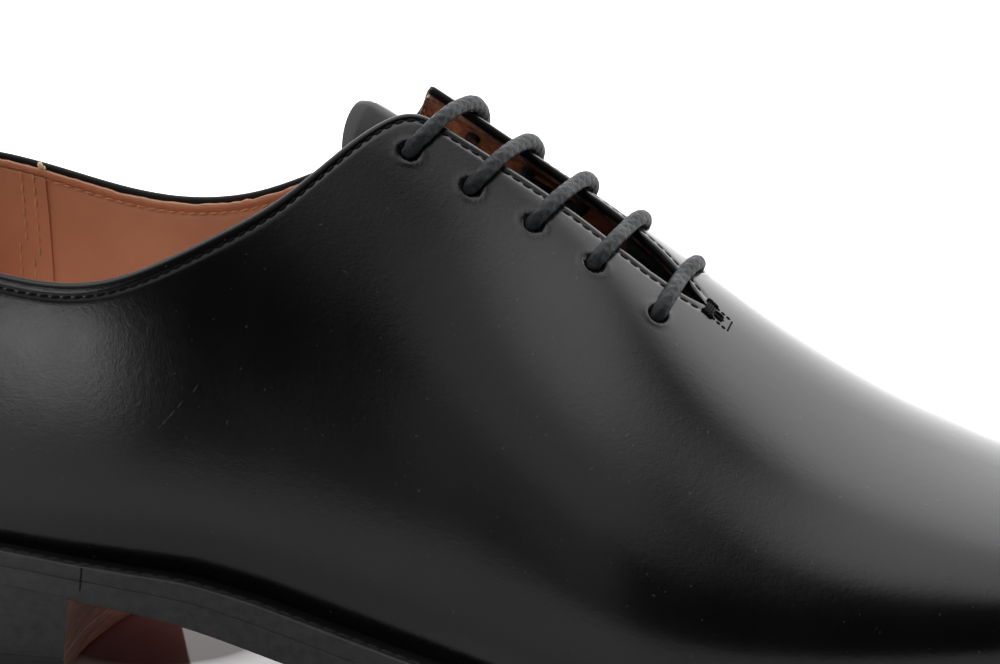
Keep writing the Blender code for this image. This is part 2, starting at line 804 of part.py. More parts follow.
def build_shoe():
    calf = material("black_calf", (0.012, 0.012, 0.013), 0.32, 0.3)
    edge = material("burnished_edge", (0.05, 0.047, 0.047), 0.45)
    sole = material("sole_leather", (0.30, 0.13, 0.09), 0.4)
    lining = material("tan_lining", (0.55, 0.25, 0.12), 0.5)
    rubber = material("top_piece_rubber", (0.02, 0.02, 0.02), 0.6)
    waxed = material("waxed_lace", (0.03, 0.03, 0.033), 0.6)

    def no_inset(x, side):
        return 0.0

    def insole_inset(x, side):
        return feather_inset(x, side) + WELT_UNDER + INSOLE_GAP

    pieces = [build_upper(calf), build_tongue(calf), build_lace(waxed)]
    pieces.append(build_plate("outsole", sole, no_inset, sole_bottom, outsole_top))
    pieces.append(build_welt(edge))
    pieces.append(build_plate(
        "insole", lining, insole_inset,
        lambda x: outsole_top(x) + GAP, lambda x: welt_top(x) + INSOLE_PROUD))
    pieces.append(build_heel("top_piece", rubber, 0, 1))
    for k in range(1, LIFTS + 1):
        pieces.append(build_heel(f"heel_lift_{k}", edge, k, k + 1))
    shoe = bpy.data.objects.new("shoe", None)
    bpy.context.scene.collection.objects.link(shoe)
    shoe.location = (-ORIGIN_X, -ORIGIN_Y, 0)
    cutters = [item for item in bpy.data.objects if item.name.endswith("cutter")]
    for piece in pieces + cutters:
        piece.parent = shoe


clear_scene()
build_shoe()
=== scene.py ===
"""Looks of a whole cut oxford, a man's right shoe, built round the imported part.

Metres, +Z up, floor at Z 0. The shapes are drawn in shoe coordinates, with X from the back of the
heel and Y from the heel's axis, lateral at -Y, and new_piece moves them into the frame.
"""

import bmesh
import bpy
import numpy as np
from mathutils import Matrix


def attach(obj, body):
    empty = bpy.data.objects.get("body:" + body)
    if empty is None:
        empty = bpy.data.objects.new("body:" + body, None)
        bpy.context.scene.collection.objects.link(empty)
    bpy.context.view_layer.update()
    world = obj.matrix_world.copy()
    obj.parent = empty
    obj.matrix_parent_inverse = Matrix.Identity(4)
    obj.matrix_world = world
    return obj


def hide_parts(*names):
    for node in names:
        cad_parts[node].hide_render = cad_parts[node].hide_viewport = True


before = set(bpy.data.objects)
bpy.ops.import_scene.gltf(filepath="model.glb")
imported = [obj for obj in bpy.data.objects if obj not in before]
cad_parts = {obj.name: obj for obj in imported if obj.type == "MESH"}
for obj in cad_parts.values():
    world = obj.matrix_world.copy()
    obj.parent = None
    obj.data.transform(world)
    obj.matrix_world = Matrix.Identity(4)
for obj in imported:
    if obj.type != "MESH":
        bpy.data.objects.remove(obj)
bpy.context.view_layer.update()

MM = 0.001

# Camera: the angle and framing of the photograph, aimed at a point in shoe coordinates
VIEW_AZIMUTH = 17.0
VIEW_ELEVATION = 13.5
VIEW_DISTANCE = 0.8
VIEW_TARGET = (143.3 * MM, 0.0, 67.1 * MM)
LENS = 152.64
SENSOR = 36.0

# Driving sizes of the shoe, as in the part
SOLE_LENGTH = 302 * MM
TOE_TIP_Y = 2.5 * MM
GAP = 0.3 * MM
WELT_UNDER = 3.4 * MM
NUDGE = 0.01 * MM
PROBE = 1 * MM
HEEL_AXIS_X = 36 * MM
WAIST_X = 118 * MM
TOE_AXIS_X = 262 * MM

# Half widths of the sole's edge on each side of the heel's axis
SOLE_TABLE = (
    ("x", "lateral", "medial"),
    (3.5, 15.0, 15.0),
    (12, 25.4, 25.2),
    (24, 31.4, 31.0),
    (40, 33.9, 33.2),
    (60, 33.8, 32.0),
    (80, 32.8, 29.0),
    (100, 31.8, 26.0),
    (120, 33.0, 24.8),
    (140, 37.2, 28.0),
    (160, 45.0, 36.0),
    (180, 51.0, 44.6),
    (200, 51.8, 49.2),
    (220, 49.2, 49.0),
    (240, 44.4, 45.6),
    (260, 37.6, 39.8),
    (276, 30.0, 32.8),
    (289, 21.2, 24.4),
    (297.5, 11.8, 15.4),
)

# Height of the outsole's underside from the heel seat to the ball
ARCH_TABLE = (
    ("x", "height"),
    (0, 22.2),
    (36, 20.8),
    (55, 18.9),
    (68, 17.3),
    (80, 15.6),
    (92, 13.2),
    (105, 9.7),
    (116, 6.9),
    (128, 4.2),
    (140, 2.1),
    (154, 0.5),
    (164, 0.0),
    (174, 0.0),
    (184, 0.0),
)
FLAT_START = 164 * MM
FLAT_END = 204 * MM
TOE_SPRING = 11 * MM
TOE_SPRING_POWER = 1.75

# Thickness of the two layers that show at the sole's edge
EDGE_TABLE = (
    ("x", "outsole", "welt"),
    (0, 4.2, 2.9),
    (68, 4.2, 2.9),
    (80, 4.5, 3.1),
    (92, 5.2, 3.6),
    (105, 5.6, 3.9),
    (302, 5.6, 3.9),
)

# Sections of the last, as in the part
LAST_TABLE = (
    ("x", "lat_inset", "med_inset", "lat_over", "med_over", "lat_lift", "med_lift",
     "lat_side", "med_side", "lat_top", "med_top", "ridge", "centre", "tilt"),
    (0, 3.4, 3.4, 2.2, 2.2, 17, 17, 0.62, 0.62, 0.62, 0.62, 128.0, 0.0, 0.0),
    (36, 3.4, 3.4, 2.6, 2.6, 18, 18, 0.64, 0.62, 0.52, 0.54, 128.0, 0.0, 0.0),
    (68, 4.0, 3.8, 3.9, 4.6, 20, 20, 0.64, 0.62, 0.48, 0.50, 128.0, 0.0, 0.02),
    (95, 4.6, 3.6, 5.2, 8.0, 21, 24, 0.60, 0.60, 0.44, 0.48, 126.0, 0.0, 0.07),
    (120, 4.8, 3.6, 5.0, 10.5, 20, 26, 0.55, 0.58, 0.42, 0.48, 118.0, 0.0, 0.13),
    (137, 4.8, 3.8, 4.4, 9.5, 18, 24, 0.53, 0.57, 0.42, 0.50, 108.1, 0.0, 0.15),
    (156, 4.8, 4.4, 3.4, 6.5, 16, 19, 0.52, 0.56, 0.43, 0.52, 96.1, 0.0, 0.16),
    (172, 4.8, 4.8, 2.9, 4.2, 14, 16, 0.51, 0.55, 0.46, 0.54, 85.6, -2.5, 0.21),
    (190, 4.8, 4.8, 2.5, 2.8, 12, 13, 0.52, 0.55, 0.50, 0.56, 71.9, -5.0, 0.26),
    (212, 4.8, 4.8, 2.2, 2.4, 12, 12, 0.54, 0.56, 0.55, 0.58, 58.3, -3.5, 0.22),
    (237, 4.8, 4.8, 1.8, 2.0, 12, 12, 0.58, 0.58, 0.58, 0.60, 49.0, -0.5, 0.12),
    (262, 4.8, 4.8, 1.6, 1.8, 12, 12, 0.60, 0.60, 0.60, 0.60, 43.6, 2.0, 0.05),
    (302, 4.8, 4.8, 1.4, 1.4, 12, 12, 0.58, 0.58, 0.56, 0.56, 43.6, 2.0, 0.04),
)
SHARES = ("side", "top", "tilt")
END_WIDTH = 33 * MM
FEATHER_REACH = 0.75
FEATHER_RISE = 0.30
BULGE_DROP = 0.50

# Height of the collar's edge on each side, from the back of the heel to the facings' corners
TOPLINE_TABLE = (
    ("x", "lateral", "medial"),
    (4, 93.0, 93.0),
    (16, 90.6, 92.4),
    (30, 85.3, 90.6),
    (42, 81.8, 88.0),
    (54, 79.4, 85.2),
    (66, 78.2, 83.6),
    (76, 79.4, 83.9),
    (86, 83.2, 86.0),
    (98, 89.4, 90.8),
    (110, 97.2, 96.6),
    (119, 105.2, 102.8),
    (124, 108.8, 107.9),
    (128, 110.6, 113.6),
    (132, 111.4, 117.0),
)
TOPLINE_LAST_X = 134 * MM

# Half width of the open throat between the facings
THROAT_TABLE = (
    ("x", "gap"),
    (118, 6.6),
    (130, 6.0),
    (140, 5.6),
    (156, 5.1),
    (168, 4.8),
    (174.5, 3.9),
    (180.5, 2.0),
    (185.0, 0.0),
)
THROAT_END_X = 185 * MM
CORNER_SHARPNESS = 450.0

# Eyelets, from the throat's end up to the facings' corners, and lace
EYELET_TABLE = (
    ("pair", "lateral", "medial", "out"),
    (0, 178.2, 179.4, 11.8),
    (1, 165.6, 168.1, 12.6),
    (2, 153.6, 157.1, 13.0),
    (3, 141.7, 146.3, 13.0),
    (4, 129.8, 135.5, 13.0),
)
EYELET_RADIUS = 1.8 * MM
HOLE_WALL = 2.0 * MM
HOLE_LIP = 0.12 * MM
LACE_RADIUS = 1.5 * MM
LACE_UNDER = 4.5 * MM
LACE_RUN_OUT = 0.34
LACE_LEANS = (0.1, 0.45, 0.7, 0.85, 1.0)

# One bar from the lateral eyelet (-1) to the medial one (1): share of the way from the centre
# line to the eyelet, height over the skin and how far it leans toward the toe
LACE_BAR_TABLE = (
    ("share", "height", "lean"),
    (-1.02, -3.5, -0.3),
    (-1.01, -1.4, -0.2),
    (-0.95, 0.45, 0.2),
    (-0.82, 1.2, 1.0),
    (-0.62, 1.4, 1.8),
    (-0.42, 1.35, 2.3),
    (-0.15, 0.8, 2.5),
    (0.15, 0.8, 2.3),
    (0.42, 1.35, 1.8),
    (0.6, 1.45, 1.4),
    (0.78, 1.3, 1.0),
    (0.94, 0.4, 0.4),
    (1.0, -1.4, 0.0),
    (1.0, -3.5, 0.0),
)

# Tongue: middle and half width along the last's girth from its centre line, and depth below it
TONGUE_TABLE = (
    ("x", "middle", "half_width", "drop"),
    (112, -10.0, 19.0, 8.2),
    (119, -10.0, 19.5, 8.2),
    (125, -9.5, 20.0, 8.3),
    (131, -8.5, 20.0, 8.2),
    (150, -5.0, 18.5, 7.6),
    (170, -2.0, 15.5, 7.4),
    (184, -1.0, 14.0, 6.8),
    (190, -0.7, 13.5, 4.6),
    (196, -0.5, 13.0, 2.6),
)
TONGUE_TOP_X = 117.5 * MM
TONGUE_END_X = 196 * MM
TONGUE_ROUND = 10 * MM
TONGUE_ROUND_SPAN = 0.97
TONGUE_SLANT = 4 * MM
TONGUE_THICK = 1.8 * MM

# Heel block
SEAT_JOINT_X = 70.5 * MM
BREAST_X = 68 * MM
BREAST_SAG = 4 * MM
BREAST_RAKE = 2.3 * MM
BREAST_BEND = 3
HEEL_TAPER = 2.4 * MM
TOP_PIECE_THICK = 5 * MM
LIFTS = 3

# Leather thicknesses and the trim of the upper's edges
RIM_RADIUS = 0.85 * MM
RIM_FADE = 4 * MM
RIM_STEPS = 8
RIM_TURN_IN = 1.5 * MM
LINING_DEPTH = 2.2 * MM
GRIP_X = 40 * MM
GRIP_TOP = 1.9 * MM
GRIP_THICK = 0.45 * MM
GRIP_ROWS = (2.3 * MM, 5.3 * MM)
TACK_HALF = 1.9
TACK_THREADS = ((184.6, 3.2), (185.0, 3.7), (185.4, 3.7), (185.8, 3.2))
TACK_LINE = (186.3, 187.3, 188.3)
LINING_TOP = 0.25 * MM
FRAY = 0.09 * MM
ROW_IN_COLLAR = 2.7 * MM
ROW_IN_FACING = 1.9 * MM
STITCH_PITCH = 2.27 * MM
WELT_STITCH_PITCH = 3.1 * MM
ROW_GROOVE = 0.2 * MM
ROW_GROOVE_WIDTH = 0.5 * MM


# Curves and tables


def cubic_spline(knots, values, closed=False):
    """A smooth curve through the values, natural at its ends or closed on itself."""
    knots = np.asarray(knots, float)
    values = np.asarray(values, float)
    count = len(knots)
    step = np.diff(knots)
    matrix = np.zeros((count, count))
    right = np.zeros((count,) + values.shape[1:])
    for i in range(1, count - 1):
        matrix[i, i - 1:i + 2] = step[i - 1], 2 * (step[i - 1] + step[i]), step[i]
        right[i] = 6 * ((values[i + 1] - values[i]) / step[i] - (values[i] - values[i - 1]) / step[i - 1])
    if closed:
        matrix[0, 0] = 1
        matrix[0, -1] = -1
        matrix[-1, 0] = 2 * step[0]
        matrix[-1, 1] = step[0]
        matrix[-1, -1] = 2 * step[-1]
        matrix[-1, -2] = step[-1]
        right[-1] = 6 * ((values[1] - values[0]) / step[0] - (values[-1] - values[-2]) / step[-1])
    else:
        matrix[0, 0] = 1
        matrix[-1, -1] = 1
    bend = np.linalg.solve(matrix, right)

    def curve(x):
        x = np.asarray(x, float)
        i = np.clip(np.searchsorted(knots, x, side="right") - 1, 0, count - 2)
        t = x - knots[i]
        h = step[i]
        if values.ndim > 1:
            t = t[..., None]
            h = h[..., None]
        slope = (values[i + 1] - values[i]) / h - h * (2 * bend[i] + bend[i + 1]) / 6
        return values[i] + slope * t + bend[i] / 2 * t ** 2 + (bend[i + 1] - bend[i]) / (6 * h) * t ** 3

    return curve


def column(table, name):
    """One column of a table, in metres. The table's first row holds the names."""
    names, *rows = table
    return np.array([row[names.index(name)] for row in rows], float) * MM


def smooth_column(table, name):
    return cubic_spline(column(table, "x"), column(table, name))


def straight_column(table, name, x):
    return np.interp(x, column(table, "x"), column(table, name))


def unit(vectors):
    length = np.linalg.norm(vectors, axis=-1, keepdims=True)
    return vectors / np.maximum(length, 1e-12)


def smooth_step(x, low, high):
    t = np.clip((np.asarray(x, float) - low) / (high - low), 0, 1)
    return t * t * (3 - 2 * t)


# The sole's edge as one closed curve, from the back of the heel along the lateral side


def closed_edge():
    x = column(SOLE_TABLE, "x")
    lateral = np.column_stack([x, -column(SOLE_TABLE, "lateral")])
    medial = np.column_stack([x, column(SOLE_TABLE, "medial")])[::-1]
    back = np.zeros((1, 2))
    tip = np.array([[SOLE_LENGTH, TOE_TIP_Y]])
    points = np.concatenate([back, lateral, tip, medial, back])
    along = np.concatenate([[0], np.cumsum(np.hypot(*np.diff(points, axis=0).T))])
    return cubic_spline(along, points, closed=True), along[-1], along[len(lateral) + 1]


EDGE, EDGE_LENGTH, TIP_AT = closed_edge()
EDGE_AT = np.linspace(0, EDGE_LENGTH, 4001)
EDGE_POINTS = EDGE(EDGE_AT)
ORIGIN = np.append((EDGE_POINTS.min(0) + EDGE_POINTS.max(0)) / 2, 0)


def edge_point(at):
    """A point of the sole's edge and the direction that faces outward there."""
    point = EDGE(np.mod(at, EDGE_LENGTH))
    way = EDGE(np.mod(at + NUDGE, EDGE_LENGTH)) - EDGE(np.mod(at - NUDGE, EDGE_LENGTH))
    way = way / np.hypot(way[0], way[1])
    return point, np.array([way[1], -way[0]])


def side_at(at):
    """Lateral (-1) or medial (1), at a distance along the sole's edge."""
    return -1 if at % EDGE_LENGTH <= TIP_AT else 1


def edge_at(x, side):
    """Where the sole's edge reaches x, on the lateral side (-1) or the medial side (1)."""
    if side < 0:
        part = EDGE_AT <= TIP_AT
        return float(np.interp(x, EDGE_POINTS[part, 0], EDGE_AT[part]))
    part = EDGE_AT >= TIP_AT
    return float(np.interp(x, EDGE_POINTS[part, 0][::-1], EDGE_AT[part][::-1]))


ARCH = smooth_column(ARCH_TABLE, "height")


def sole_bottom(x):
    """Height of the outsole's underside: heel seat, arch, flat ball and toe spring."""
    arch = np.maximum(ARCH(np.clip(x, 0, FLAT_START)), 0)
    spring = np.clip((x - FLAT_END) / (SOLE_LENGTH - FLAT_END), 0, 1) ** TOE_SPRING_POWER
    return float(np.where(x < FLAT_START, arch, TOE_SPRING * spring))


def outsole_top(x):
    return sole_bottom(x) + float(straight_column(EDGE_TABLE, "outsole", x))


def welt_top(x):
    return outsole_top(x) + float(straight_column(EDGE_TABLE, "welt", x))


# The last's skin


LAST = {name: smooth_column(LAST_TABLE, name) for name in LAST_TABLE[0]}


def last_size(name, x):
    value = float(LAST[name](x))
    return value / MM if name.endswith(SHARES) else value


def sided_size(name, x, y, side):
    """A size of the last that differs between the sides and blends round the heel and the toe."""
    lateral = last_size("lat_" + name, x)
    medial = last_size("med_" + name, x)
    if HEEL_AXIS_X <= x <= TOE_AXIS_X:
        return lateral if side < 0 else medial
    middle = TOE_TIP_Y if x > TOE_AXIS_X else 0.0
    share = 0.5 + 0.5 * np.clip((y - middle) / END_WIDTH, -1, 1)
    return lateral + (medial - lateral) * share


def bezier(a, b, c, d, t):
    return (1 - t) ** 3 * a + 3 * (1 - t) ** 2 * t * b + 3 * (1 - t) * t ** 2 * c + t ** 3 * d


def ridge_slope(x):
    """Slope along the centre line that the ribs round the heel and the toe lean on."""
    if x < HEEL_AXIS_X:
        return (last_size("ridge", HEEL_AXIS_X + PROBE) - last_size("ridge", HEEL_AXIS_X)) / PROBE
    if x > TOE_AXIS_X:
        return (last_size("ridge", TOE_AXIS_X) - last_size("ridge", TOE_AXIS_X - PROBE)) / PROBE
    return 0.0


def rib(at, samples=241):
    """One rib of the last, from the feather line over the bulge to the centre line."""
    side = side_at(at)
    edge, out = edge_point(at)
    x = edge[0]
    inset = sided_size("inset", x, edge[1], side)
    over = sided_size("over", x, edge[1], side)
    low = edge - inset * out
    wide = edge - (inset - over) * out
    feather = np.array([low[0], low[1], welt_top(low[0]) + GAP])
    bulge = np.array([wide[0], wide[1], welt_top(wide[0]) + sided_size("lift", x, edge[1], side)])
    axis_x = min(max(x, HEEL_AXIS_X), TOE_AXIS_X)
    top = np.array([axis_x, last_size("centre", axis_x), last_size("ridge", axis_x)])
    slope = ridge_slope(x)
    reach = bulge - top
    high = top[2] + slope * reach[0]
    above = bulge + np.array([0, 0, sided_size("side", x, edge[1], side) * (high - bulge[2])])
    rise = slope * reach[0] + last_size("tilt", axis_x) * reach[1]
    beside = top + sided_size("top", x, edge[1], side) * np.array([reach[0], reach[1], rise])
    climb = bulge - feather
    out_of_feather = feather + climb * np.array([FEATHER_REACH, FEATHER_REACH, FEATHER_RISE])
    under_bulge = bulge - np.array([0, 0, BULGE_DROP * climb[2]])
    t = np.linspace(0, 1, samples)[:, None]
    lower = bezier(feather, out_of_feather, under_bulge, bulge, t)
    upper = bezier(bulge, above, beside, top, t)
    return np.concatenate([lower, upper[1:]])


def girth(points):
    """Distance along a row of points from the first one."""
    return np.concatenate([[0], np.cumsum(np.linalg.norm(np.diff(points, axis=0), axis=1))])


def between_rows(where, distance, rows):
    return np.column_stack([np.interp(where, distance, rows[:, k]) for k in range(3)])


def along_points(points, where):
    return between_rows(where, girth(points), points)


TOPLINES = {
    -1: smooth_column(TOPLINE_TABLE, "lateral"),
    1: smooth_column(TOPLINE_TABLE, "medial"),
}


def first_crossing(distance, height):
    """Where a row of heights first rises past zero, or the row's end."""
    above = np.nonzero(height > 0)[0]
    if len(above) == 0 or above[0] == 0:
        return distance[-1]
    i = above[0]
    share = -height[i - 1] / (height[i] - height[i - 1])
    return distance[i - 1] + share * (distance[i] - distance[i - 1])


def soft_least(a, b):
    """The lesser of two lengths, rounded where they meet, as at the facing's corner."""
    least = min(a, b)
    over = np.array([a - least, b - least]) * CORNER_SHARPNESS
    return least - np.log(np.exp(-over).sum()) / CORNER_SHARPNESS


def leather_girth(points, at):
    """How far up its rib the leather reaches: to the collar, to the throat or all the way."""
    side = side_at(at)
    x = edge_point(at)[0][0]
    distance = girth(points)
    reach = distance[-1]
    if x >= THROAT_END_X:
        return reach
    if x > HEEL_AXIS_X:
        centre = last_size("centre", x)
        gap = straight_column(THROAT_TABLE, "gap", x)
        reach = first_crossing(distance, gap - side * (points[:, 1] - centre))
    if x < TOPLINE_LAST_X:
        edge = TOPLINES[side](np.clip(points[:, 0], column(TOPLINE_TABLE, "x")[0], None))
        collar = first_crossing(distance, points[:, 2] - edge)
        reach = soft_least(reach, collar)
    return reach


def skin_point(x, y):
    """The last's surface above a place in plan, with the direction that faces out of it."""
    def surface(px, py):
        centre = last_size("centre", px)
        points = rib(edge_at(px, -1 if py < centre else 1))
        half = points[len(points) // 2:]
        order = np.argsort(half[:, 1])
        return np.array([px, py, np.interp(py, half[order, 1], half[order, 2])])

    along = surface(x + PROBE, y) - surface(x - PROBE, y)
    across = surface(x, y + PROBE) - surface(x, y - PROBE)
    return surface(x, y), unit(np.cross(along, across))


def across_ribs(x, where):
    """A point and its outward direction on the last, by girth from the centre line at x."""
    side = -1 if where < 0 else 1
    rows = []
    for dx in (-PROBE, 0, PROBE):
        points = rib(edge_at(x + dx, side))[::-1]
        rows.append(along_points(points, abs(where) + np.array([-PROBE, 0, PROBE])))
    along = rows[2][1] - rows[0][1]
    across = (rows[1][2] - rows[1][0]) * side
    return rows[1][1], unit(np.cross(along, across))


# Meshes


def new_piece(name, verts, faces, materials, sharp=0.7, shown=None, weld=0.0):
    """A mesh piece from shoe coordinates that rides on the shoe's one body."""
    mesh = bpy.data.meshes.new(name)
    mesh.from_pydata([tuple(v) for v in np.asarray(verts) - ORIGIN], [], faces)
    for mat in materials:
        mesh.materials.append(mat)
    if shown is not None:
        mesh.polygons.foreach_set("material_index", shown)
    if weld:
        bm = bmesh.new()
        bm.from_mesh(mesh)
        bmesh.ops.remove_doubles(bm, verts=bm.verts, dist=weld)
        bmesh.ops.dissolve_degenerate(bm, edges=bm.edges, dist=weld / 10)
        bm.to_mesh(mesh)
        bm.free()
    mesh.validate()
    mesh.shade_smooth()
    mesh.set_sharp_from_angle(angle=sharp)
    obj = add_object(name, mesh)
    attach(obj, "root")
    return obj


def grid_faces(rows, columns, start=0, wrap_rows=False, wrap_columns=False, flip=False):
    """Four-sided faces over a grid of corners stored row by row."""
    faces = []
    for i in range(rows if wrap_rows else rows - 1):
        for j in range(columns if wrap_columns else columns - 1):
            a = start + i * columns + j
            b = start + ((i + 1) % rows) * columns + j
            c = start + ((i + 1) % rows) * columns + (j + 1) % columns
            d = start + i * columns + (j + 1) % columns
            faces.append((a, d, c, b) if flip else (a, b, c, d))
    return faces


def grid_normals(grid):
    """Directions over a grid of points that closes on itself, from its neighbours."""
    along = np.roll(grid, -1, 0) - np.roll(grid, 1, 0)
    return unit(np.cross(along, np.gradient(grid, axis=1)))


def add_object(name, data):
    obj = bpy.data.objects.new(name, data)
    bpy.context.scene.collection.objects.link(obj)
    return obj


def face_outward(obj, change=None):
    """Turns a piece's faces outward, after a change to its mesh if one is given."""
    bm = bmesh.new()
    bm.from_mesh(obj.data)
    if change:
        change(bm)
    bmesh.ops.recalc_face_normals(bm, faces=bm.faces)
    bm.to_mesh(obj.data)
    bm.free()


# The upper


def wall_stations():
    """Where the upper's columns stand, closer together along the throat and at its end."""
    spans = (
        (HEEL_AXIS_X, WAIST_X, 1.3 * MM),
        (WAIST_X, 176 * MM, 0.75 * MM),
        (176 * MM, 190 * MM, 0.4 * MM),
        (190 * MM, TOE_AXIS_X, 1.3 * MM),
    )
    xs = []
    for start, end, step in spans:
        xs.extend(np.linspace(start, end, int(round((end - start) / step)), endpoint=False))
    xs.append(TOE_AXIS_X)
    lateral = [edge_at(x, -1) for x in xs]
    medial = [edge_at(x, 1) for x in reversed(xs)]
    toe = np.linspace(lateral[-1], medial[0], 72)[1:-1]
    heel = np.linspace(medial[-1], lateral[0] + EDGE_LENGTH, 72)[1:-1]
    return np.array(lateral + list(toe) + medial + list(heel))


NEAR_STEPS = (0, 0.3, 0.6, 0.9, 1.2, 1.5, 1.8, 2.1, 2.5, 3.0)
HOLE_BAND = (3.6, 15.0)
HOLE_STEP = 0.6
LOW_ROWS = 54
LOW_CROWDING = 1.35


class Wall:
    """The upper's outer face as a grid of columns round the shoe and rows down from its edge."""

    def __init__(self):
        self.at = wall_stations()
        self.x = np.array([edge_point(a)[0][0] for a in self.at])
        self.side = np.array([side_at(a) for a in self.at])
        self.rim = RIM_RADIUS * smooth_step(THROAT_END_X - self.x, 0, RIM_FADE)
        self.row_in = ROW_IN_COLLAR + (ROW_IN_FACING - ROW_IN_COLLAR) * smooth_step(
            self.x, 118 * MM, 132 * MM)
        self.ribs = [rib(a) for a in self.at]
        self.reach = np.array([leather_girth(p, a) for p, a in zip(self.ribs, self.at)])
        near = list(NEAR_STEPS) + list(np.arange(*HOLE_BAND, HOLE_STEP))
        self.near = np.array(near) * MM
        low = 1 - (1 - np.linspace(0, 1, LOW_ROWS + 1)[1:]) ** LOW_CROWDING
        self.down = []
        for reach, rim in zip(self.reach, self.rim):
            last = rim + self.near[-1]
            self.down.append(np.concatenate([rim + self.near, last + low * (reach - last)]))
        self.down = np.array(self.down)
        self.points = self.at_depths(self.down)
        self.normals = self.face_out(grid_normals(self.points))
        self.edge = self.at_depths(np.zeros((len(self.at), 1)))[:, 0]

    def at_depths(self, down):
        """Points on every column at distances down from the leather's edge."""
        rows = zip(self.ribs, self.reach, down)
        return np.array([along_points(p, reach - d) for p, reach, d in rows])

    def face_out(self, normals):
        """Turns directions so that they leave the shoe."""
        middle = normals[len(self.at) // 8, -20]
        return normals if middle[1] < 0 else -normals


def crease_groove(wall):
    """How deep the stitched row lies in the leather, for each corner of the wall."""
    away = (wall.down - wall.row_in[:, None]) / ROW_GROOVE_WIDTH
    fade = smooth_step(THROAT_END_X - wall.x, 0, 2 * MM)[:, None]
    return ROW_GROOVE * np.exp(-away ** 2) * fade


def eyelets():
    """Each eyelet's place and the direction out of the leather."""
    found = []
    for _, lateral, medial, out in EYELET_TABLE[1:]:
        for side, x in ((-1, lateral), (1, medial)):
            x = x * MM
            found.append(skin_point(x, last_size("centre", x) + side * out * MM))
    return found


def punch_holes(bm, places, radius, depth, lip):
    """Opens a round hole with a short wall at each place, and raises the leather round it."""
    for place, normal in places:
        centre = place - ORIGIN
        near = []
        for v in bm.verts:
            reach = np.array(v.co) - centre
            if np.dot(reach, reach) < (3 * radius) ** 2:
                high = np.dot(reach, normal)
                flat = reach - high * normal
                near.append((v, high, flat, np.linalg.norm(flat)))
        inside = {v for v, high, flat, far in near if far < radius * 1.02}
        gone = {f for v in inside for f in v.link_faces if all(c in inside for c in f.verts)}
        ring = {e for f in gone for e in f.edges if any(g not in gone for g in e.link_faces)}
        rim = {v for e in ring for v in e.verts}
        bmesh.ops.delete(bm, geom=list(gone), context="FACES")
        for v, high, flat, far in near:
            if not v.is_valid:
                continue
            if v in rim:
                v.co = centre + flat / far * radius + (high - lip) * normal
            elif far < radius * 1.9:
                swell = np.exp(-((far / radius - 1.35) / 0.22) ** 2)
                v.co = np.array(v.co) + lip * swell * normal
        edges = [e for e in ring if e.is_valid]
        walls = bmesh.ops.extrude_edge_only(bm, edges=edges)["geom"]
        for v in walls:
            if isinstance(v, bmesh.types.BMVert):
                v.co = np.array(v.co) - depth * normal
    loose = [v for v in bm.verts if not v.link_faces]
    bmesh.ops.delete(bm, geom=loose, context="VERTS")


def build_upper(wall, calf, edge_paint):
    """Black calf: the outer face, its rolled edge and a short turn-in."""
    outer = wall.points - wall.normals * crease_groove(wall)[..., None]
    columns = len(wall.at)
    rim = wall.rim[:, None]
    base = wall.points[:, 0]
    out = wall.normals[:, 0]
    up = wall.edge - base
    up = unit(up - (up * out).sum(1, keepdims=True) * out)
    axis = base - rim * out
    turn_in = wall.at_depths((wall.rim * (1 + RIM_TURN_IN / RIM_RADIUS))[:, None])[:, 0]
    rolled = [turn_in - 2 * rim * out]
    for turn in np.linspace(np.pi, 0, RIM_STEPS + 1)[:-1]:
        rolled.append(axis + rim * (np.cos(turn) * out + np.sin(turn) * up))
    grid = np.concatenate([np.stack(rolled, 1), outer], axis=1)
    rows = grid.shape[1]
    faces = grid_faces(columns, rows, wrap_rows=True)
    shown = [1 if k % (rows - 1) < RIM_STEPS - 1 else 0 for k in range(len(faces))]
    obj = new_piece(
        "upper_skin", grid.reshape(-1, 3), faces, [calf, edge_paint], shown=shown,
        weld=0.01 * MM)
    face_outward(obj, lambda bm: punch_holes(bm, eyelets(), EYELET_RADIUS, HOLE_WALL, HOLE_LIP))
    obj.data.shade_smooth()
    obj.data.set_sharp_from_angle(angle=0.9)
    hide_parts("upper")
    return obj


def build_lining(wall, tan):
    """Tan lining on the inner face, with a trimmed edge below the rolled rim."""
    rim = wall.rim[:, None]
    frayed = np.random.default_rng(7).normal(0, FRAY, len(wall.at))
    start = wall.rim + (LINING_TOP + frayed) * wall.rim / RIM_RADIUS
    steps = np.array([0, 0.25, 0.8, 1.4, 1.8, 2.1, 2.6, 3.4, 5.0])
    low = np.linspace(0, 1, 34)[1:]
    down = []
    for top, reach in zip(start, wall.reach):
        near = top + steps * MM
        down.append(np.concatenate([near, near[-1] + low * (reach - 1.5 * MM - near[-1])]))
    down = np.array(down)
    points = wall.at_depths(down)
    normals = wall.face_out(grid_normals(points))
    depth = np.full(down.shape, LINING_DEPTH)
    depth[:, 0] -= 0.12 * MM
    away = (down - (wall.row_in + 0.3 * MM)[:, None]) / ROW_GROOVE_WIDTH
    depth -= 0.3 * MM * np.exp(-away ** 2)
    band = smooth_step(wall.row_in[:, None] - down, 0, 0.5 * MM)
    depth += 0.25 * MM * band * smooth_step(rim, 0, RIM_RADIUS)
    inner = points - normals * depth[..., None]
    open_edge = rim / RIM_RADIUS
    shallow = open_edge * (2 * rim - 0.1 * MM) + (1 - open_edge) * LINING_DEPTH
    under = points[:, :1] - normals[:, :1] * shallow[..., None]
    grid = np.concatenate([under, inner], axis=1)
    rows = grid.shape[1]
    faces = grid_faces(len(wall.at), rows, wrap_rows=True, flip=True)
    obj = new_piece("lining", grid.reshape(-1, 3), faces, [tan], weld=0.01 * MM)
    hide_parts("upper")
    return obj


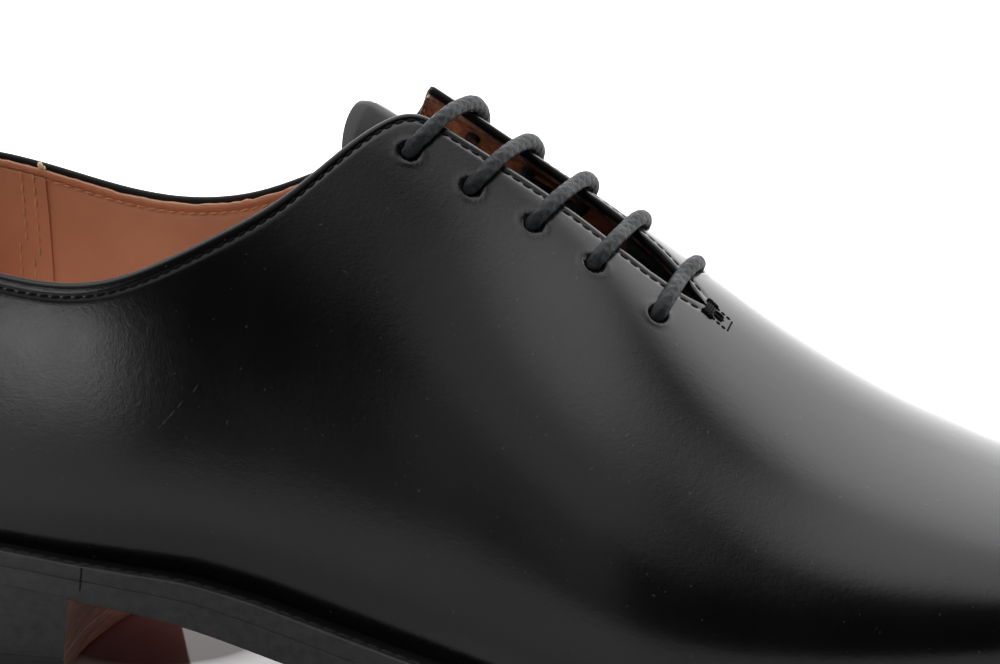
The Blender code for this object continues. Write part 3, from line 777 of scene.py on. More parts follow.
GLUE_SPOTS = ((0.5, 1.7, 0.3), (1.6, 1.3, -0.5), (1.0, 1.1, 1.0))


def build_heel_grip(wall, tan, thread, glue):
    """A second layer of lining round the heel, with two rows of stitches beside its front edges."""
    count = len(wall.at)
    lateral = [i for i in range(count) if wall.side[i] < 0 and wall.x[i] < GRIP_X]
    medial = [i for i in range(count) if wall.side[i] > 0 and wall.x[i] < GRIP_X]
    low = [i for i in lateral if i < count // 2]
    run = medial + [i for i in lateral if i >= count // 2] + low
    low_rows = np.linspace(0, 1, 30)
    downs = []
    for i in run:
        top = wall.rim[i] + GRIP_TOP
        downs.append(top + low_rows * (wall.reach[i] - 3 * MM - top))
    full = np.zeros((count, len(low_rows)))
    full[run] = np.array(downs)
    points = wall.at_depths(full)
    normals = wall.normals[:, 12][:, None]
    sheet = (points - normals * (LINING_DEPTH + GRIP_THICK))[run]
    border = (points - normals * LINING_DEPTH)[run]
    grid = np.concatenate([border[:, :1], sheet], axis=1)
    first = np.concatenate([border[:1, :1], border[:1]], axis=1)
    last = np.concatenate([border[-1:, :1], border[-1:]], axis=1)
    grid = np.concatenate([first, grid, last])
    faces = grid_faces(*grid.shape[:2], flip=True)
    new_piece("heel_grip", grid.reshape(-1, 3), faces, [tan], weld=0.01 * MM)
    rows = []
    for side in (-1, 1):
        for inset in GRIP_ROWS:
            for down in np.arange(3.4, 30, 2.6) * MM:
                x = GRIP_X - inset - 0.06 * down
                i = next(k for k in run if wall.side[k] == side and abs(wall.x[k] - x) < 0.8 * MM)
                ribs = []
                for step in (0, 1.2 * MM):
                    ribs.append(along_points(wall.ribs[i], wall.reach[i] - down - step)[0])
                out = wall.normals[i, 12]
                way = unit(ribs[1] - ribs[0])
                place = ribs[0] - out * (LINING_DEPTH + GRIP_THICK + 0.04 * MM)
                rows.append(thread_row([place], [way], [-out], 1.9 * MM, 0.55 * MM, 0.45 * MM))
    new_rows("heel_grip_stitches", rows, thread)
    i = next(k for k in run if wall.side[k] > 0 and abs(wall.x[k] - GRIP_X + 2 * MM) < 0.8 * MM)
    spots = []
    for down, size, shift in GLUE_SPOTS:
        place = along_points(wall.ribs[i], wall.reach[i] - down * MM)[0]
        place = place + (shift * MM, 0, 0) - wall.normals[i, 12] * 1.9 * MM
        way = np.array([0.5, 0.0, -0.87])
        spots.append(thread_row(
            [place], [way], [-wall.normals[i, 12]], size * MM, 0.75 * size * MM, 0.6 * size * MM))
    new_rows("glue_spots", spots, glue)


def on_skin(x, off_centre, lift):
    """A place on the vamp's skin in millimetres, off_centre across from the centre line."""
    x = x * MM
    point, normal = skin_point(x, last_size("centre", x) + off_centre * MM)
    return point + lift * MM * normal, normal


def build_tack(thread, hole):
    """The bar tack at the slit's end: a knot with two lobes, a flat black disc just over the skin that
    paints the slot's shade, and three short stitched lines.
    """
    rows = []

    def stitch(x, y, run, length, width, height, lift=0.1):
        place, out = on_skin(x, y, lift)
        ahead, _ = on_skin(x + run[0], y + run[1], lift)
        sizes = (length * MM, width * MM, height * MM)
        rows.append(thread_row([place], [unit(ahead - place)], [out], *sizes, rings=6))

    for x, length in TACK_THREADS:
        stitch(x, 0, (0, 1), length, 0.55, 0.75)
    for y in (-TACK_HALF, TACK_HALF):
        for x, length in ((184.7, 1.5), (185.2, 1.9), (185.7, 1.4)):
            stitch(x, y + (185.2 - x) * 0.2, (1, 0.25), length, 0.75, 0.9, 0.15)
        for x in TACK_LINE:
            stitch(x, y * 0.95, (1, 0), 0.95, 0.42, 0.4, 0.03)
        stitch(186.9, y * 0.36, (1, 0), 2.2, 0.3, 0.5, 0.1)
    for y in (-1.4, -0.5, 0.45, 1.35):
        stitch(TACK_LINE[-1] + 0.8, y, (0, 1), 0.95, 0.42, 0.4, 0.03)
    new_rows("tack", rows, thread)
    # The slot is a flat black disc laid just over the skin: painted shade of its dark inside
    rim = []
    for turn in np.linspace(0, 2 * np.pi, 24, endpoint=False):
        place, _ = on_skin(186.9 + 1.1 * np.cos(turn), 0.5 * np.sin(turn), 0.03)
        rim.append(place)
    new_piece("tack_slot_painted_shade", rim, [tuple(range(len(rim)))], [hole])


# Stitches


def resample(points, others, pitch, start=0.0):
    """Evenly spaced places along a path, with the way it runs and other values at each."""
    distance = girth(points)
    count = int((distance[-1] - start) / pitch)
    where = start + np.arange(count) * pitch
    place = between_rows(where, distance, points)
    ahead = between_rows(where + pitch / 4, distance, points)
    behind = between_rows(where - pitch / 4, distance, points)
    return place, unit(ahead - behind), unit(between_rows(where, distance, others))


def thread_row(place, way, out, length, width, height, tilt=0.0, rings=5, sides=8):
    """Corners and faces of a row of plump stitches lying along a path."""
    verts = []
    faces = []
    for p, w, n in zip(place, way, out):
        across = np.cross(n, w)
        start = len(verts)
        w2 = w * np.cos(tilt) + across * np.sin(tilt)
        a2 = np.cross(n, w2)
        for i in range(rings + 1):
            s = -1 + 2 * i / rings
            fat = max(1 - abs(s) ** 2.6, 0.04) ** 0.5
            for j in range(sides):
                turn = 2 * np.pi * j / sides
                ring = fat * (width / 2 * np.cos(turn) * a2 + height / 2 * np.sin(turn) * n)
                verts.append(p + w2 * s * length / 2 + ring)
        for i in range(rings):
            for j in range(sides):
                k = (j + 1) % sides
                a = start + i * sides
                faces.append((a + j, a + k, a + sides + k, a + sides + j))
        faces.append(tuple(start + j for j in reversed(range(sides))))
        faces.append(tuple(start + rings * sides + j for j in range(sides)))
    return verts, faces


def new_rows(name, rows, thread):
    """Several rows of stitches as one piece."""
    verts = []
    faces = []
    for row_verts, row_faces in rows:
        start = len(verts)
        verts.extend(row_verts)
        faces.extend(tuple(c + start for c in f) for f in row_faces)
    new_piece(name, verts, faces, [thread])


def edge_run(wall):
    """Column numbers from the throat's end up the lateral facing, round the collar and back."""
    count = len(wall.at)
    lateral = [i for i in range(count) if wall.side[i] < 0 and wall.x[i] < THROAT_END_X]
    medial = [i for i in range(count) if wall.side[i] > 0 and wall.x[i] < THROAT_END_X]
    lateral = [i for i in lateral if i < count // 2]
    return lateral[::-1] + [i for i in medial[::-1] if i not in lateral]


def row_path(wall, offset, depth_in, run):
    """A path on or under the leather at a distance in from its edge."""
    down = (wall.row_in + depth_in)[:, None]
    points = wall.at_depths(down)[:, 0]
    nearest = np.abs(wall.down - down).argmin(1)
    normals = wall.normals[np.arange(len(wall.at)), nearest]
    return (points + normals * offset)[run], normals[run]


def build_edge_stitches(wall, thread, tan_thread):
    run = edge_run(wall)
    points, normals = row_path(wall, -ROW_GROOVE + 0.03 * MM, 0.0, run)
    path = resample(points, normals, STITCH_PITCH)
    row = thread_row(*path, 1.75 * MM, 0.72 * MM, 0.42 * MM, 0.12)
    new_rows("edge_stitches", [row], thread)
    points, normals = row_path(wall, -LINING_DEPTH - 0.02 * MM, 0.3 * MM, run)
    path = resample(points, -normals, STITCH_PITCH, 1.1 * MM)
    row = thread_row(*path, 1.6 * MM, 0.42 * MM, 0.34 * MM, 0.1)
    new_rows("lining_stitches", [row], tan_thread)


# Lace


def lace_route():
    """Hidden run to the first eyelet, five bars over the throat and the links below."""
    pairs = list(zip(*[column(EYELET_TABLE, name) for name in ("lateral", "medial", "out")]))

    def facing_point(stations, share):
        lateral, medial, out = stations
        x = lateral + (medial - lateral) * (share + 1) / 2
        return skin_point(x, last_size("centre", x) + share * out)

    def under_skin(first, second, side, out):
        stations = [(a + b) / 2 for a, b in zip(first, second)]
        point, normal = facing_point(stations, side * (1 + out))
        return point - LACE_UNDER * normal

    def bar(stations, side, much):
        """One bar over the throat, from the eyelet on the given side."""
        points = []
        for share, height, lean in LACE_BAR_TABLE[1:][::-side]:
            lateral, medial, out = stations
            lean = lean * much * MM
            point, normal = facing_point((lateral + lean, medial + lean, out), share)
            points.append(point + height * MM * normal)
        return points

    route = [under_skin(pair, pair, -1, LACE_RUN_OUT) for pair in pairs[:0:-1]]
    route.append(under_skin(pairs[0], pairs[1], -1, LACE_RUN_OUT / 2))
    side = -1
    for i, stations in enumerate(pairs):
        route.extend(bar(stations, side, LACE_LEANS[i]))
        side = -side
        if i + 1 < len(pairs):
            route.append(under_skin(stations, pairs[i + 1], side, 0.0))
    return np.array(route)


BRAID_STRANDS = 8
BRAID_PITCH = 5.2 * MM
BRAID_HEIGHT = 0.09 * MM


def build_lace(waxed):
    """Round waxed lace, its braid raised in the mesh."""
    route = lace_route()
    path = cubic_spline(girth(route), route)
    fine = path(np.linspace(0, girth(route)[-1], 3000))
    length = girth(fine)[-1]
    count = int(length / (0.32 * MM))
    centre = along_points(fine, np.linspace(0, length, count))
    way = unit(np.gradient(centre, axis=0))
    side = np.zeros_like(way)
    side[0] = np.cross(way[0], (0, 0, 1.0))
    for k in range(1, count):
        side[k] = unit(side[k - 1] - np.dot(side[k - 1], way[k]) * way[k])
    other = np.cross(way, side)
    sides = 26
    turn = np.linspace(0, 2 * np.pi, sides, endpoint=False)
    along = np.linspace(0, length, count)[:, None]
    phase = 2 * np.pi * along / BRAID_PITCH
    half = BRAID_STRANDS / 2
    left = np.cos(half * turn + 2 * phase)
    right = np.cos(half * turn - 2 * phase)
    radius = LACE_RADIUS + BRAID_HEIGHT * (np.maximum(left, right) - 0.6)
    points = centre[:, None] + radius[..., None] * (
        np.cos(turn)[None, :, None] * side[:, None] + np.sin(turn)[None, :, None] * other[:, None])
    faces = grid_faces(count, sides, wrap_columns=True)
    faces.append(tuple(range(sides)))
    faces.append(tuple((count - 1) * sides + j for j in reversed(range(sides))))
    obj = new_piece("lace", points.reshape(-1, 3), faces, [waxed])
    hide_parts("lace")


# Tongue


def build_tongue(calf, tan):
    middle = smooth_column(TONGUE_TABLE, "middle")
    half = smooth_column(TONGUE_TABLE, "half_width")
    drop = smooth_column(TONGUE_TABLE, "drop")
    strips = np.linspace(-1, 1, 37)
    steps = np.linspace(0, 1, 61)
    top = np.zeros((len(strips), len(steps), 3))
    normals = np.zeros_like(top)
    for i, t in enumerate(strips):
        corner = 1 - np.sqrt(1 - (TONGUE_ROUND_SPAN * t) ** 2)
        start = TONGUE_TOP_X + TONGUE_SLANT * t + TONGUE_ROUND * corner
        for j, u in enumerate(steps):
            x = start + (TONGUE_END_X - start) * u
            point, normal = across_ribs(x, float(middle(x) + t * half(x)))
            top[i, j] = point - drop(x) * normal
            normals[i, j] = normal
    thin = np.ones(top.shape[:2])
    thin[0] = thin[-1] = 0.3
    thin[:, 0] = 0.3
    thick = (TONGUE_THICK * thin)[..., None]
    sunk = (TONGUE_THICK * (1 - thin) / 2)[..., None]
    upper = top - sunk * normals
    under = upper - thick * normals
    rows, columns = top.shape[:2]
    count = rows * columns
    verts = np.concatenate([upper.reshape(-1, 3), under.reshape(-1, 3)])
    faces = grid_faces(rows, columns)
    low = grid_faces(rows, columns, start=count, flip=True)
    shown = [0] * len(faces) + [1] * len(low)
    faces += low
    loop = list(range(columns))
    loop += [i * columns + columns - 1 for i in range(1, rows)]
    loop += [(rows - 1) * columns + j for j in range(columns - 2, -1, -1)]
    loop += [i * columns for i in range(rows - 2, 0, -1)]
    for a, b in zip(loop, loop[1:] + loop[:1]):
        faces.append((a, a + count, b + count, b))
        shown.append(0)
    obj = new_piece("tongue", verts, faces, [calf, tan], shown=shown, sharp=1.2)
    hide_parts("tongue")


# Sole


def sole_axis(x):
    """The middle of the sole that its layers close on."""
    axis_x = min(max(x, HEEL_AXIS_X), TOE_AXIS_X)
    lateral = edge_point(edge_at(axis_x, -1))[0]
    medial = edge_point(edge_at(axis_x, 1))[0]
    return np.array([axis_x, (lateral[1] + medial[1]) / 2])


def close_on_axis(ring, corner, shares, height, lift=0.0):
    """Rows from one corner of every row of a ring to the sole's middle, by shares of the way."""
    grid = []
    for row in ring:
        axis = sole_axis(row[corner][0])
        plans = [axis + (row[corner][:2] - axis) * share for share in shares]
        grid.append([(plan[0], plan[1], height(plan[0]) + lift) for plan in plans])
    return np.array(grid)


def sweep_edge(profile, stations):
    """A profile carried round the sole's edge. Each of its corners has a share of the way to the
    feather's inner side, an inset, a height function and a lift."""
    grid = []
    for at in stations:
        edge, out = edge_point(at)
        deep = sided_size("inset", edge[0], edge[1], side_at(at)) + WELT_UNDER
        row = []
        for share, inset, height, lift in profile:
            plan = edge - (share * deep + inset * MM) * out
            row.append((plan[0], plan[1], height(plan[0]) + lift * MM))
        grid.append(row)
    return np.array(grid)


WELT_PROFILE = (
    (1, 0, outsole_top, 0.1),
    (0, 0.4, outsole_top, 0.04),
    (0, 0.08, outsole_top, 0.06),
    (0, 0.0, outsole_top, 0.2),
    (0, 0.0, welt_top, -0.6),
    (0, 0.06, welt_top, -0.3),
    (0, 0.22, welt_top, -0.08),
    (0, 0.5, welt_top, 0.0),
    (0, 1.5, welt_top, 0.0),
    (0, 1.75, welt_top, -0.22),
    (0, 2.0, welt_top, -0.3),
    (0, 2.25, welt_top, -0.22),
    (0, 2.5, welt_top, 0.0),
    (1, -3.8, welt_top, 0.02),
    (1, -3.1, welt_top, 0.75),
    (1, 0, welt_top, 0.75),
)
WELT_TOP_FACES = (9, 13)
OUTSOLE_PROFILE = (
    (0, 0.6, outsole_top, 0.0),
    (0, 0.08, outsole_top, -0.02),
    (0, 0.0, outsole_top, -0.16),
    (0, -0.05, outsole_top, -1.6),
    (0, 0.0, sole_bottom, 0.8),
    (0, 0.03, sole_bottom, 0.2),
    (0, 0.15, sole_bottom, 0.03),
    (0, 0.6, sole_bottom, 0.0),
    (0, 3.2, sole_bottom, 0.0),
    (0, 3.5, sole_bottom, 0.25),
    (0, 3.8, sole_bottom, 0.0),
)
INSOLE_THICK = 1.2 * MM
SOLE_STATIONS = np.linspace(0, EDGE_LENGTH, 640, endpoint=False)


def build_welt(edge_leather, top_leather, thread):
    grid = sweep_edge(WELT_PROFILE, SOLE_STATIONS)
    columns = len(WELT_PROFILE)
    faces = grid_faces(len(grid), columns, wrap_rows=True, wrap_columns=True)
    first, last = WELT_TOP_FACES
    shown = [1 if first <= k % columns <= last else 0 for k in range(len(faces))]
    mats = [edge_leather, top_leather]
    obj = new_piece("welt", grid.reshape(-1, 3), faces, mats, sharp=0.9, shown=shown)
    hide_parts("welt")
    line = sweep_edge(((0, 2.0, welt_top, -0.12),), np.linspace(0, EDGE_LENGTH, 1200))[:, 0]
    up = np.tile((0.0, 0.0, 1.0), (len(line), 1))
    path = resample(line, up, WELT_STITCH_PITCH)
    new_rows("welt_stitches", [thread_row(*path, 2.6 * MM, 0.8 * MM, 0.6 * MM)], thread)


def build_seat_joint(dark):
    """The dark joint in the sole's edge where the strip round the heel meets the welt."""
    at = edge_at(SEAT_JOINT_X, -1)
    grid = []
    for step in (-0.2 * MM, 0.0, 0.2 * MM):
        edge, out = edge_point(at + step)
        plan = edge + (0.08 * MM if step == 0 else 0.04 * MM) * out
        heights = np.linspace(sole_bottom(plan[0]) + 2.4 * MM, welt_top(plan[0]) - 0.2 * MM, 5)
        grid.append([(plan[0] + 0.1 * (h - heights[0]), plan[1], h) for h in heights])
    grid = np.array(grid)
    faces = grid_faces(*grid.shape[:2])
    new_piece("seat_joint", grid.reshape(-1, 3), faces, [dark])


def build_outsole(sole, edge_leather):
    ring = sweep_edge(OUTSOLE_PROFILE, SOLE_STATIONS)
    inner = close_on_axis(ring, -1, np.linspace(1, 0, 14)[1:], sole_bottom)
    top = close_on_axis(ring, 0, (0, 0.5), outsole_top)
    grid = np.concatenate([top, ring, inner], axis=1)
    columns = grid.shape[1]
    faces = grid_faces(len(grid), columns, wrap_rows=True)
    side_last = 2 + 7
    shown = [1 if (k % (columns - 1)) < side_last else 0 for k in range(len(faces))]
    obj = new_piece(
        "outsole", grid.reshape(-1, 3), faces, [sole, edge_leather], shown=shown, sharp=0.9)
    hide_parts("outsole")


def build_insole(tan):
    """Bare insole with its edge turned up a little against the lining."""
    profile = (
        (1, 0.6, outsole_top, 0.3),
        (1, 0.6, welt_top, 0.8),
        (1, -1.1, welt_top, 0.9),
        (1, -0.9, welt_top, 1.25),
        (1, 0.2, welt_top, 1.3),
        (1, 3.0, welt_top, 1.2),
    )
    ring = sweep_edge(profile, SOLE_STATIONS[::2])
    inner = close_on_axis(ring, -1, np.linspace(1, 0, 12)[1:], welt_top, INSOLE_THICK)
    grid = np.concatenate([ring, inner], axis=1)
    faces = grid_faces(len(grid), grid.shape[1], wrap_rows=True, flip=True)
    obj = new_piece("insole", grid.reshape(-1, 3), faces, [tan], sharp=0.9)
    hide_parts("insole")


def inset_point(x, side, inset):
    edge, out = edge_point(edge_at(x, side))
    return edge - inset * out


def heel_plan(u, w, level):
    """A corner of the heel block: u from back to breast, w across, level from floor to sole."""
    inset = HEEL_TAPER * (1 - level)
    lateral = inset_point(BREAST_X * u, -1, inset)
    medial = inset_point(BREAST_X * u, 1, inset)
    plan = (lateral + medial) / 2 + (medial - lateral) / 2 * w
    plan[0] -= (BREAST_SAG * (1 - w * w) + BREAST_RAKE * (1 - level)) * u ** BREAST_BEND
    return plan


def heel_height(x, share):
    """Height at a share of the way from the top piece to the sole."""
    return TOP_PIECE_THICK + (sole_bottom(x) - TOP_PIECE_THICK) * share


def heel_loop():
    """Places round the heel block: along the lateral side from the breast, round and across."""
    turn = np.linspace(0, np.pi / 2, 46)
    sides = 1 - np.cos(turn)
    lateral = [(u, -1.0, 0) for u in sides[::-1]]
    medial = [(u, 1.0, 0) for u in sides[1:]]
    breast = [(1.0, w, 1) for w in np.linspace(1, -1, 25)[1:-1]]
    return lateral + medial + breast


def build_heel_layer(name, levels, mats, nodes):
    """Part of the heel as a closed block. Each level has its place, its height and its inset."""
    loop = heel_loop()
    grid = []
    for level, share, lift, inset in levels:
        row = []
        for u, w, breast in loop:
            plan = heel_plan(u, w, level)
            plan = plan + unit(heel_plan(0.55, 0.0, level) - plan) * inset * MM
            height = heel_height(plan[0], share) if share is not None else 0.0
            row.append((plan[0], plan[1], height + lift * MM))
        grid.append(row)
    grid = np.array(grid)
    rows, columns = grid.shape[:2]
    faces = grid_faces(rows, columns, wrap_columns=True, flip=True)
    on_breast = [breast or loop[(j + 1) % columns][2] for j, (_, _, breast) in enumerate(loop)]
    shown = [1 if on_breast[k % columns] else 0 for k in range(len(faces))]
    verts = list(grid.reshape(-1, 3))
    for row, flip in ((0, False), (rows - 1, True)):
        centre = grid[row].mean(0)
        verts.append(centre)
        for j in range(columns):
            a = row * columns + j
            b = row * columns + (j + 1) % columns
            faces.append((len(verts) - 1, b, a) if flip else (len(verts) - 1, a, b))
            shown.append(0)
    obj = new_piece(name, verts, faces, mats, shown=shown, sharp=0.6, weld=0.01 * MM)
    face_outward(obj)
    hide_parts(*nodes)


def build_heel(edge_leather, breast_leather, rubber):
    levels = []
    steps = 42
    for k in range(steps + 1):
        share = k / steps
        lift_place = (share * LIFTS) % 1
        seam = min(lift_place, 1 - lift_place)
        groove = 0.03 * np.exp(-(seam / 0.04) ** 2) if k < steps else 0.0
        level = (1 + share * LIFTS) / (LIFTS + 1)
        levels.append((level, share, 0.3 if k == steps else 0.0, groove))
    nodes = ["heel_lift_%d" % (k + 1) for k in range(LIFTS)]
    build_heel_layer("heel_stack", levels, [edge_leather, breast_leather], nodes)
    levels = (
        (0.0, None, 0.0, 0.8),
        (0.0, None, 0.25, 0.3),
        (0.05, None, 0.8, 0.0),
        (0.2, None, 4.2, 0.0),
        (0.25, None, 4.75, 0.06),
        (0.25, None, 4.95, 0.25),
    )
    build_heel_layer("top_piece", levels, [rubber, breast_leather], ["top_piece"])


# Materials


def feed(tree, socket, value):
    """Sets an input to a constant value, or links another node's output to it."""
    if isinstance(value, bpy.types.NodeSocket):
        tree.links.new(value, socket)
    else:
        socket.default_value = value


def add_node(tree, kind, output, inputs, **settings):
    """A new node with its settings and inputs. Gives back one of its outputs."""
    made = tree.nodes.new(kind)
    for name, value in settings.items():
        setattr(made, name, value)
    for name, value in inputs.items():
        feed(tree, made.inputs[name], value)
    return made.outputs[output]


def new_material(name, colour, roughness, specular=0.5):
    mat = bpy.data.materials.new(name)
    mat.use_nodes = True
    shader = mat.node_tree.nodes["Principled BSDF"]
    shader.inputs["Base Color"].default_value = (*colour, 1)
    shader.inputs["Roughness"].default_value = roughness
    shader.inputs["Specular IOR Level"].default_value = specular
    return mat, mat.node_tree, shader


def object_coordinates(tree, scale=(1, 1, 1)):
    place = tree.nodes.new("ShaderNodeTexCoord").outputs["Object"]
    return add_node(tree, "ShaderNodeMapping", "Vector", {"Vector": place, "Scale": scale})


def noise(tree, vector, scale, detail=3.0, roughness=0.5):
    inputs = {"Vector": vector, "Scale": scale, "Detail": detail, "Roughness": roughness}
    return add_node(tree, "ShaderNodeTexNoise", "Fac", inputs)


def axis_of(tree, vector, name):
    return add_node(tree, "ShaderNodeSeparateXYZ", name, {"Vector": vector})


def calculate(tree, operation, *values):
    return add_node(tree, "ShaderNodeMath", "Value", dict(enumerate(values)), operation=operation)


def vector_math(tree, operation, output, first, second):
    return add_node(tree, "ShaderNodeVectorMath", output, {0: first, 1: second}, operation=operation)


def map_range(tree, value, low, high, to_low, to_high, **settings):
    inputs = {"Value": value, "From Min": low, "From Max": high, "To Min": to_low, "To Max": to_high}
    return add_node(tree, "ShaderNodeMapRange", "Result", inputs, **settings)


def mix_colours(tree, factor, first, second):
    first, second = [(*c, 1) if isinstance(c, tuple) else c for c in (first, second)]
    return add_node(tree, "ShaderNodeMix", 2, {0: factor, 6: first, 7: second}, data_type="RGBA")


def ramp(tree, value, stops):
    made = tree.nodes.new("ShaderNodeValToRGB")
    elements = made.color_ramp.elements
    while len(elements) < len(stops):
        elements.new(0.5)
    for element, (place, colour) in zip(elements, stops):
        element.position = place
        element.color = (*colour, 1)
    tree.links.new(value, made.inputs["Fac"])
    return made.outputs["Color"]


def bump(tree, shader, heights):
    """Stacks heights, each with its distance in metres, into the shader's normal."""
    below = {}
    for height, distance, strength in heights:
        inputs = {"Height": height, "Distance": distance, "Strength": strength, **below}
        below = {"Normal": add_node(tree, "ShaderNodeBump", "Normal", inputs)}
    feed(tree, shader.inputs["Normal"], below["Normal"])


# Scratches on the lateral quarter, each from one place to another along X and Z in shoe millimetres
SCRATCHES = (
    (87.3, 52.7, 92.2, 58.4),
    (86.2, 51.9, 88.0, 53.2),
    (93.4, 59.3, 94.6, 61.2),
)
SCRATCH_WIDTH = 0.16 * MM
SCRATCH_ENDS = (0.6 * MM, 1.2 * MM)


def scratch(tree, place, start_x, start_z, end_x, end_z):
    """A mask that is 1 along a straight scratch and 0 elsewhere."""
    start = np.array([start_x * MM - ORIGIN[0], 0, start_z * MM])
    span = np.array([(end_x - start_x) * MM, 0, (end_z - start_z) * MM])
    length = float(np.linalg.norm(span))
    way = span / length
    flat = vector_math(tree, "MULTIPLY", "Vector", place, (1, 0, 1))
    local = vector_math(tree, "SUBTRACT", "Vector", flat, start)
    along = vector_math(tree, "DOT_PRODUCT", "Value", local, way)
    across = vector_math(tree, "DOT_PRODUCT", "Value", local, (-way[2], 0, way[0]))
    away = calculate(tree, "ABSOLUTE", across)
    mask = map_range(tree, away, SCRATCH_WIDTH / 2, SCRATCH_WIDTH, 1.0, 0.0)
    first, last = SCRATCH_ENDS
    for low, high in ((0, first), (length, length - last)):
        mask = calculate(tree, "MULTIPLY", mask, map_range(tree, along, low, high, 0.0, 1.0))
    return mask


def black_calf():
    mat, tree, shader = new_material("black_calf", (0.003, 0.003, 0.0034), 0.25)
    place = object_coordinates(tree)
    cloud = noise(tree, place, 45, 3)
    mottle = noise(tree, place, 260, 4, 0.6)
    grain = noise(tree, place, 2600, 2)
    pores = noise(tree, place, 900, 3, 0.6)
    feed(tree, shader.inputs["Roughness"], map_range(tree, cloud, 0.3, 0.7, 0.18, 0.25))
    colour = ramp(tree, pores, ((0.35, (0.0022, 0.0022, 0.0025)), (0.7, (0.004, 0.004, 0.0045))))
    marks = scratch(tree, place, *SCRATCHES[0])
    for row in SCRATCHES[1:]:
        marks = calculate(tree, "MAXIMUM", marks, scratch(tree, place, *row))
    lateral = map_range(tree, axis_of(tree, place, "Y"), 0.0, -0.005, 0.0, 1.0)
    broken_up = map_range(tree, noise(tree, place, 900, 2), 0.35, 0.6, 0.1, 1.0)
    for mask in (lateral, broken_up):
        marks = calculate(tree, "MULTIPLY", marks, mask)
    specks = map_range(tree, noise(tree, place, 1250, 0), 0.83, 0.85, 0.0, 0.7)
    marks = calculate(tree, "MAXIMUM", marks, specks)
    feed(tree, shader.inputs["Base Color"], mix_colours(tree, marks, colour, (0.05, 0.05, 0.052)))
    layers = ((cloud, 0.0006, 0.14), (mottle, 0.0001, 0.14), (pores, 0.00006, 0.3), (grain, 0.00003, 0.4))
    bump(tree, shader, layers)
    return mat


# Where along the frame's X the smooth lining gives way to suede, and where the suede's painted shade down
# the throat is darkest
FACING_LINING = (-0.031, 0.003)


def tan_lining():
    mat, tree, shader = new_material("tan_lining", (0.6, 0.32, 0.2), 0.5, 0.4)
    place = object_coordinates(tree)
    cloud = noise(tree, place, 38, 4)
    grain = noise(tree, place, 1500, 3)
    nap = noise(tree, place, 330, 5, 0.7)
    smooth = ramp(tree, cloud, ((0.3, (0.6, 0.31, 0.19)), (0.7, (0.74, 0.42, 0.28))))
    pale = ramp(tree, nap, ((0.38, (0.12, 0.05, 0.03)), (0.56, (0.42, 0.21, 0.12)), (0.7, (0.6, 0.4, 0.27))))
    # deep: the suede's colour darkened by painted shade deep in the throat
    deep = ramp(tree, nap, ((0.4, (0.02, 0.009, 0.007)), (0.62, (0.14, 0.06, 0.045))))
    along = axis_of(tree, place, "X")
    start, end = FACING_LINING
    into_facing = map_range(tree, along, start, start + 0.003, 0, 1)
    # The suede darkens along X down into the throat: painted shade
    shade_down_throat = map_range(tree, along, start + 0.011, end, 0, 1)
    suede = mix_colours(tree, shade_down_throat, pale, deep)
    feed(tree, shader.inputs["Base Color"], mix_colours(tree, into_facing, smooth, suede))
    bump(tree, shader, ((cloud, 0.0008, 0.2), (grain, 0.00005, 0.3)))
    return mat


def burnished_edge():
    mat, tree, shader = new_material("burnished_edge", (0.04, 0.038, 0.038), 0.5, 0.4)
    place = object_coordinates(tree)
    streaks = noise(tree, object_coordinates(tree, (1, 1, 5)), 120, 5, 0.65)
    blotches = noise(tree, place, 420, 5, 0.7)
    fine = noise(tree, place, 2200, 3)
    colour = ramp(tree, streaks, ((0.3, (0.022, 0.021, 0.022)), (0.7, (0.05, 0.048, 0.047))))
    worn = ramp(tree, blotches, ((0.35, (0.018, 0.018, 0.019)), (0.72, (0.075, 0.072, 0.07))))
    feed(tree, shader.inputs["Base Color"], mix_colours(tree, 0.5, colour, worn))
    feed(tree, shader.inputs["Roughness"], map_range(tree, blotches, 0.3, 0.7, 0.42, 0.6))
    bump(tree, shader, ((streaks, 0.0002, 0.25), (blotches, 0.0001, 0.35), (fine, 0.00004, 0.4)))
    return mat


def two_scale_leather(name, colour, finish, large, small, stops):
    """Leather coloured by a large noise, with a small one in its bump. Each noise has the scale of
    its coordinates, its settings, and its distance and strength in the bump."""
    mat, tree, shader = new_material(name, colour, *finish)
    layers = []
    for stretch, settings, distance, strength in (large, small):
        place = object_coordinates(tree, stretch)
        layers.append((noise(tree, place, *settings), distance, strength))
    feed(tree, shader.inputs["Base Color"], ramp(tree, layers[0][0], stops))
    bump(tree, shader, layers)
    return mat


def sole_leather():
    return two_scale_leather(
        "sole_leather", (0.26, 0.1, 0.07), (0.34, 0.25),
        ((1, 1, 1), (60, 5, 0.6), 0.0003, 0.2),
        ((1, 1, 1), (1400, 3), 0.00004, 0.3),
        ((0.3, (0.17, 0.045, 0.034)), (0.72, (0.3, 0.1, 0.075))))


def breast_leather():
    return two_scale_leather(
        "breast_leather", (0.3, 0.13, 0.08), (0.55, 0.15),
        ((1, 1, 12), (130, 4, 0.65), 0.0003, 0.4),
        ((1, 1, 12), (900, 3), 0.00005, 0.3),
        ((0.3, (0.16, 0.06, 0.045)), (0.55, (0.3, 0.125, 0.085)), (0.75, (0.42, 0.2, 0.14))))


def waxed_lace():
    mat, tree, shader = new_material("waxed_lace", (0.03, 0.032, 0.036), 0.55, 0.35)
    place = object_coordinates(tree)
    wax = noise(tree, place, 1100, 4, 0.7)
    colour = ramp(tree, wax, ((0.38, (0.006, 0.007, 0.009)), (0.62, (0.034, 0.037, 0.043))))
    feed(tree, shader.inputs["Base Color"], colour)
    bump(tree, shader, ((noise(tree, place, 2200, 5, 0.75), 0.0003, 0.6),))
    return mat


def one_colour(name, colour, roughness, specular, grain, distance, strength):
    """One colour with one fine noise, of a scale and a detail, as its bump."""
    mat, tree, shader = new_material(name, colour, roughness, specular)
    bump(tree, shader, ((noise(tree, object_coordinates(tree), *grain), distance, strength),))
    return mat


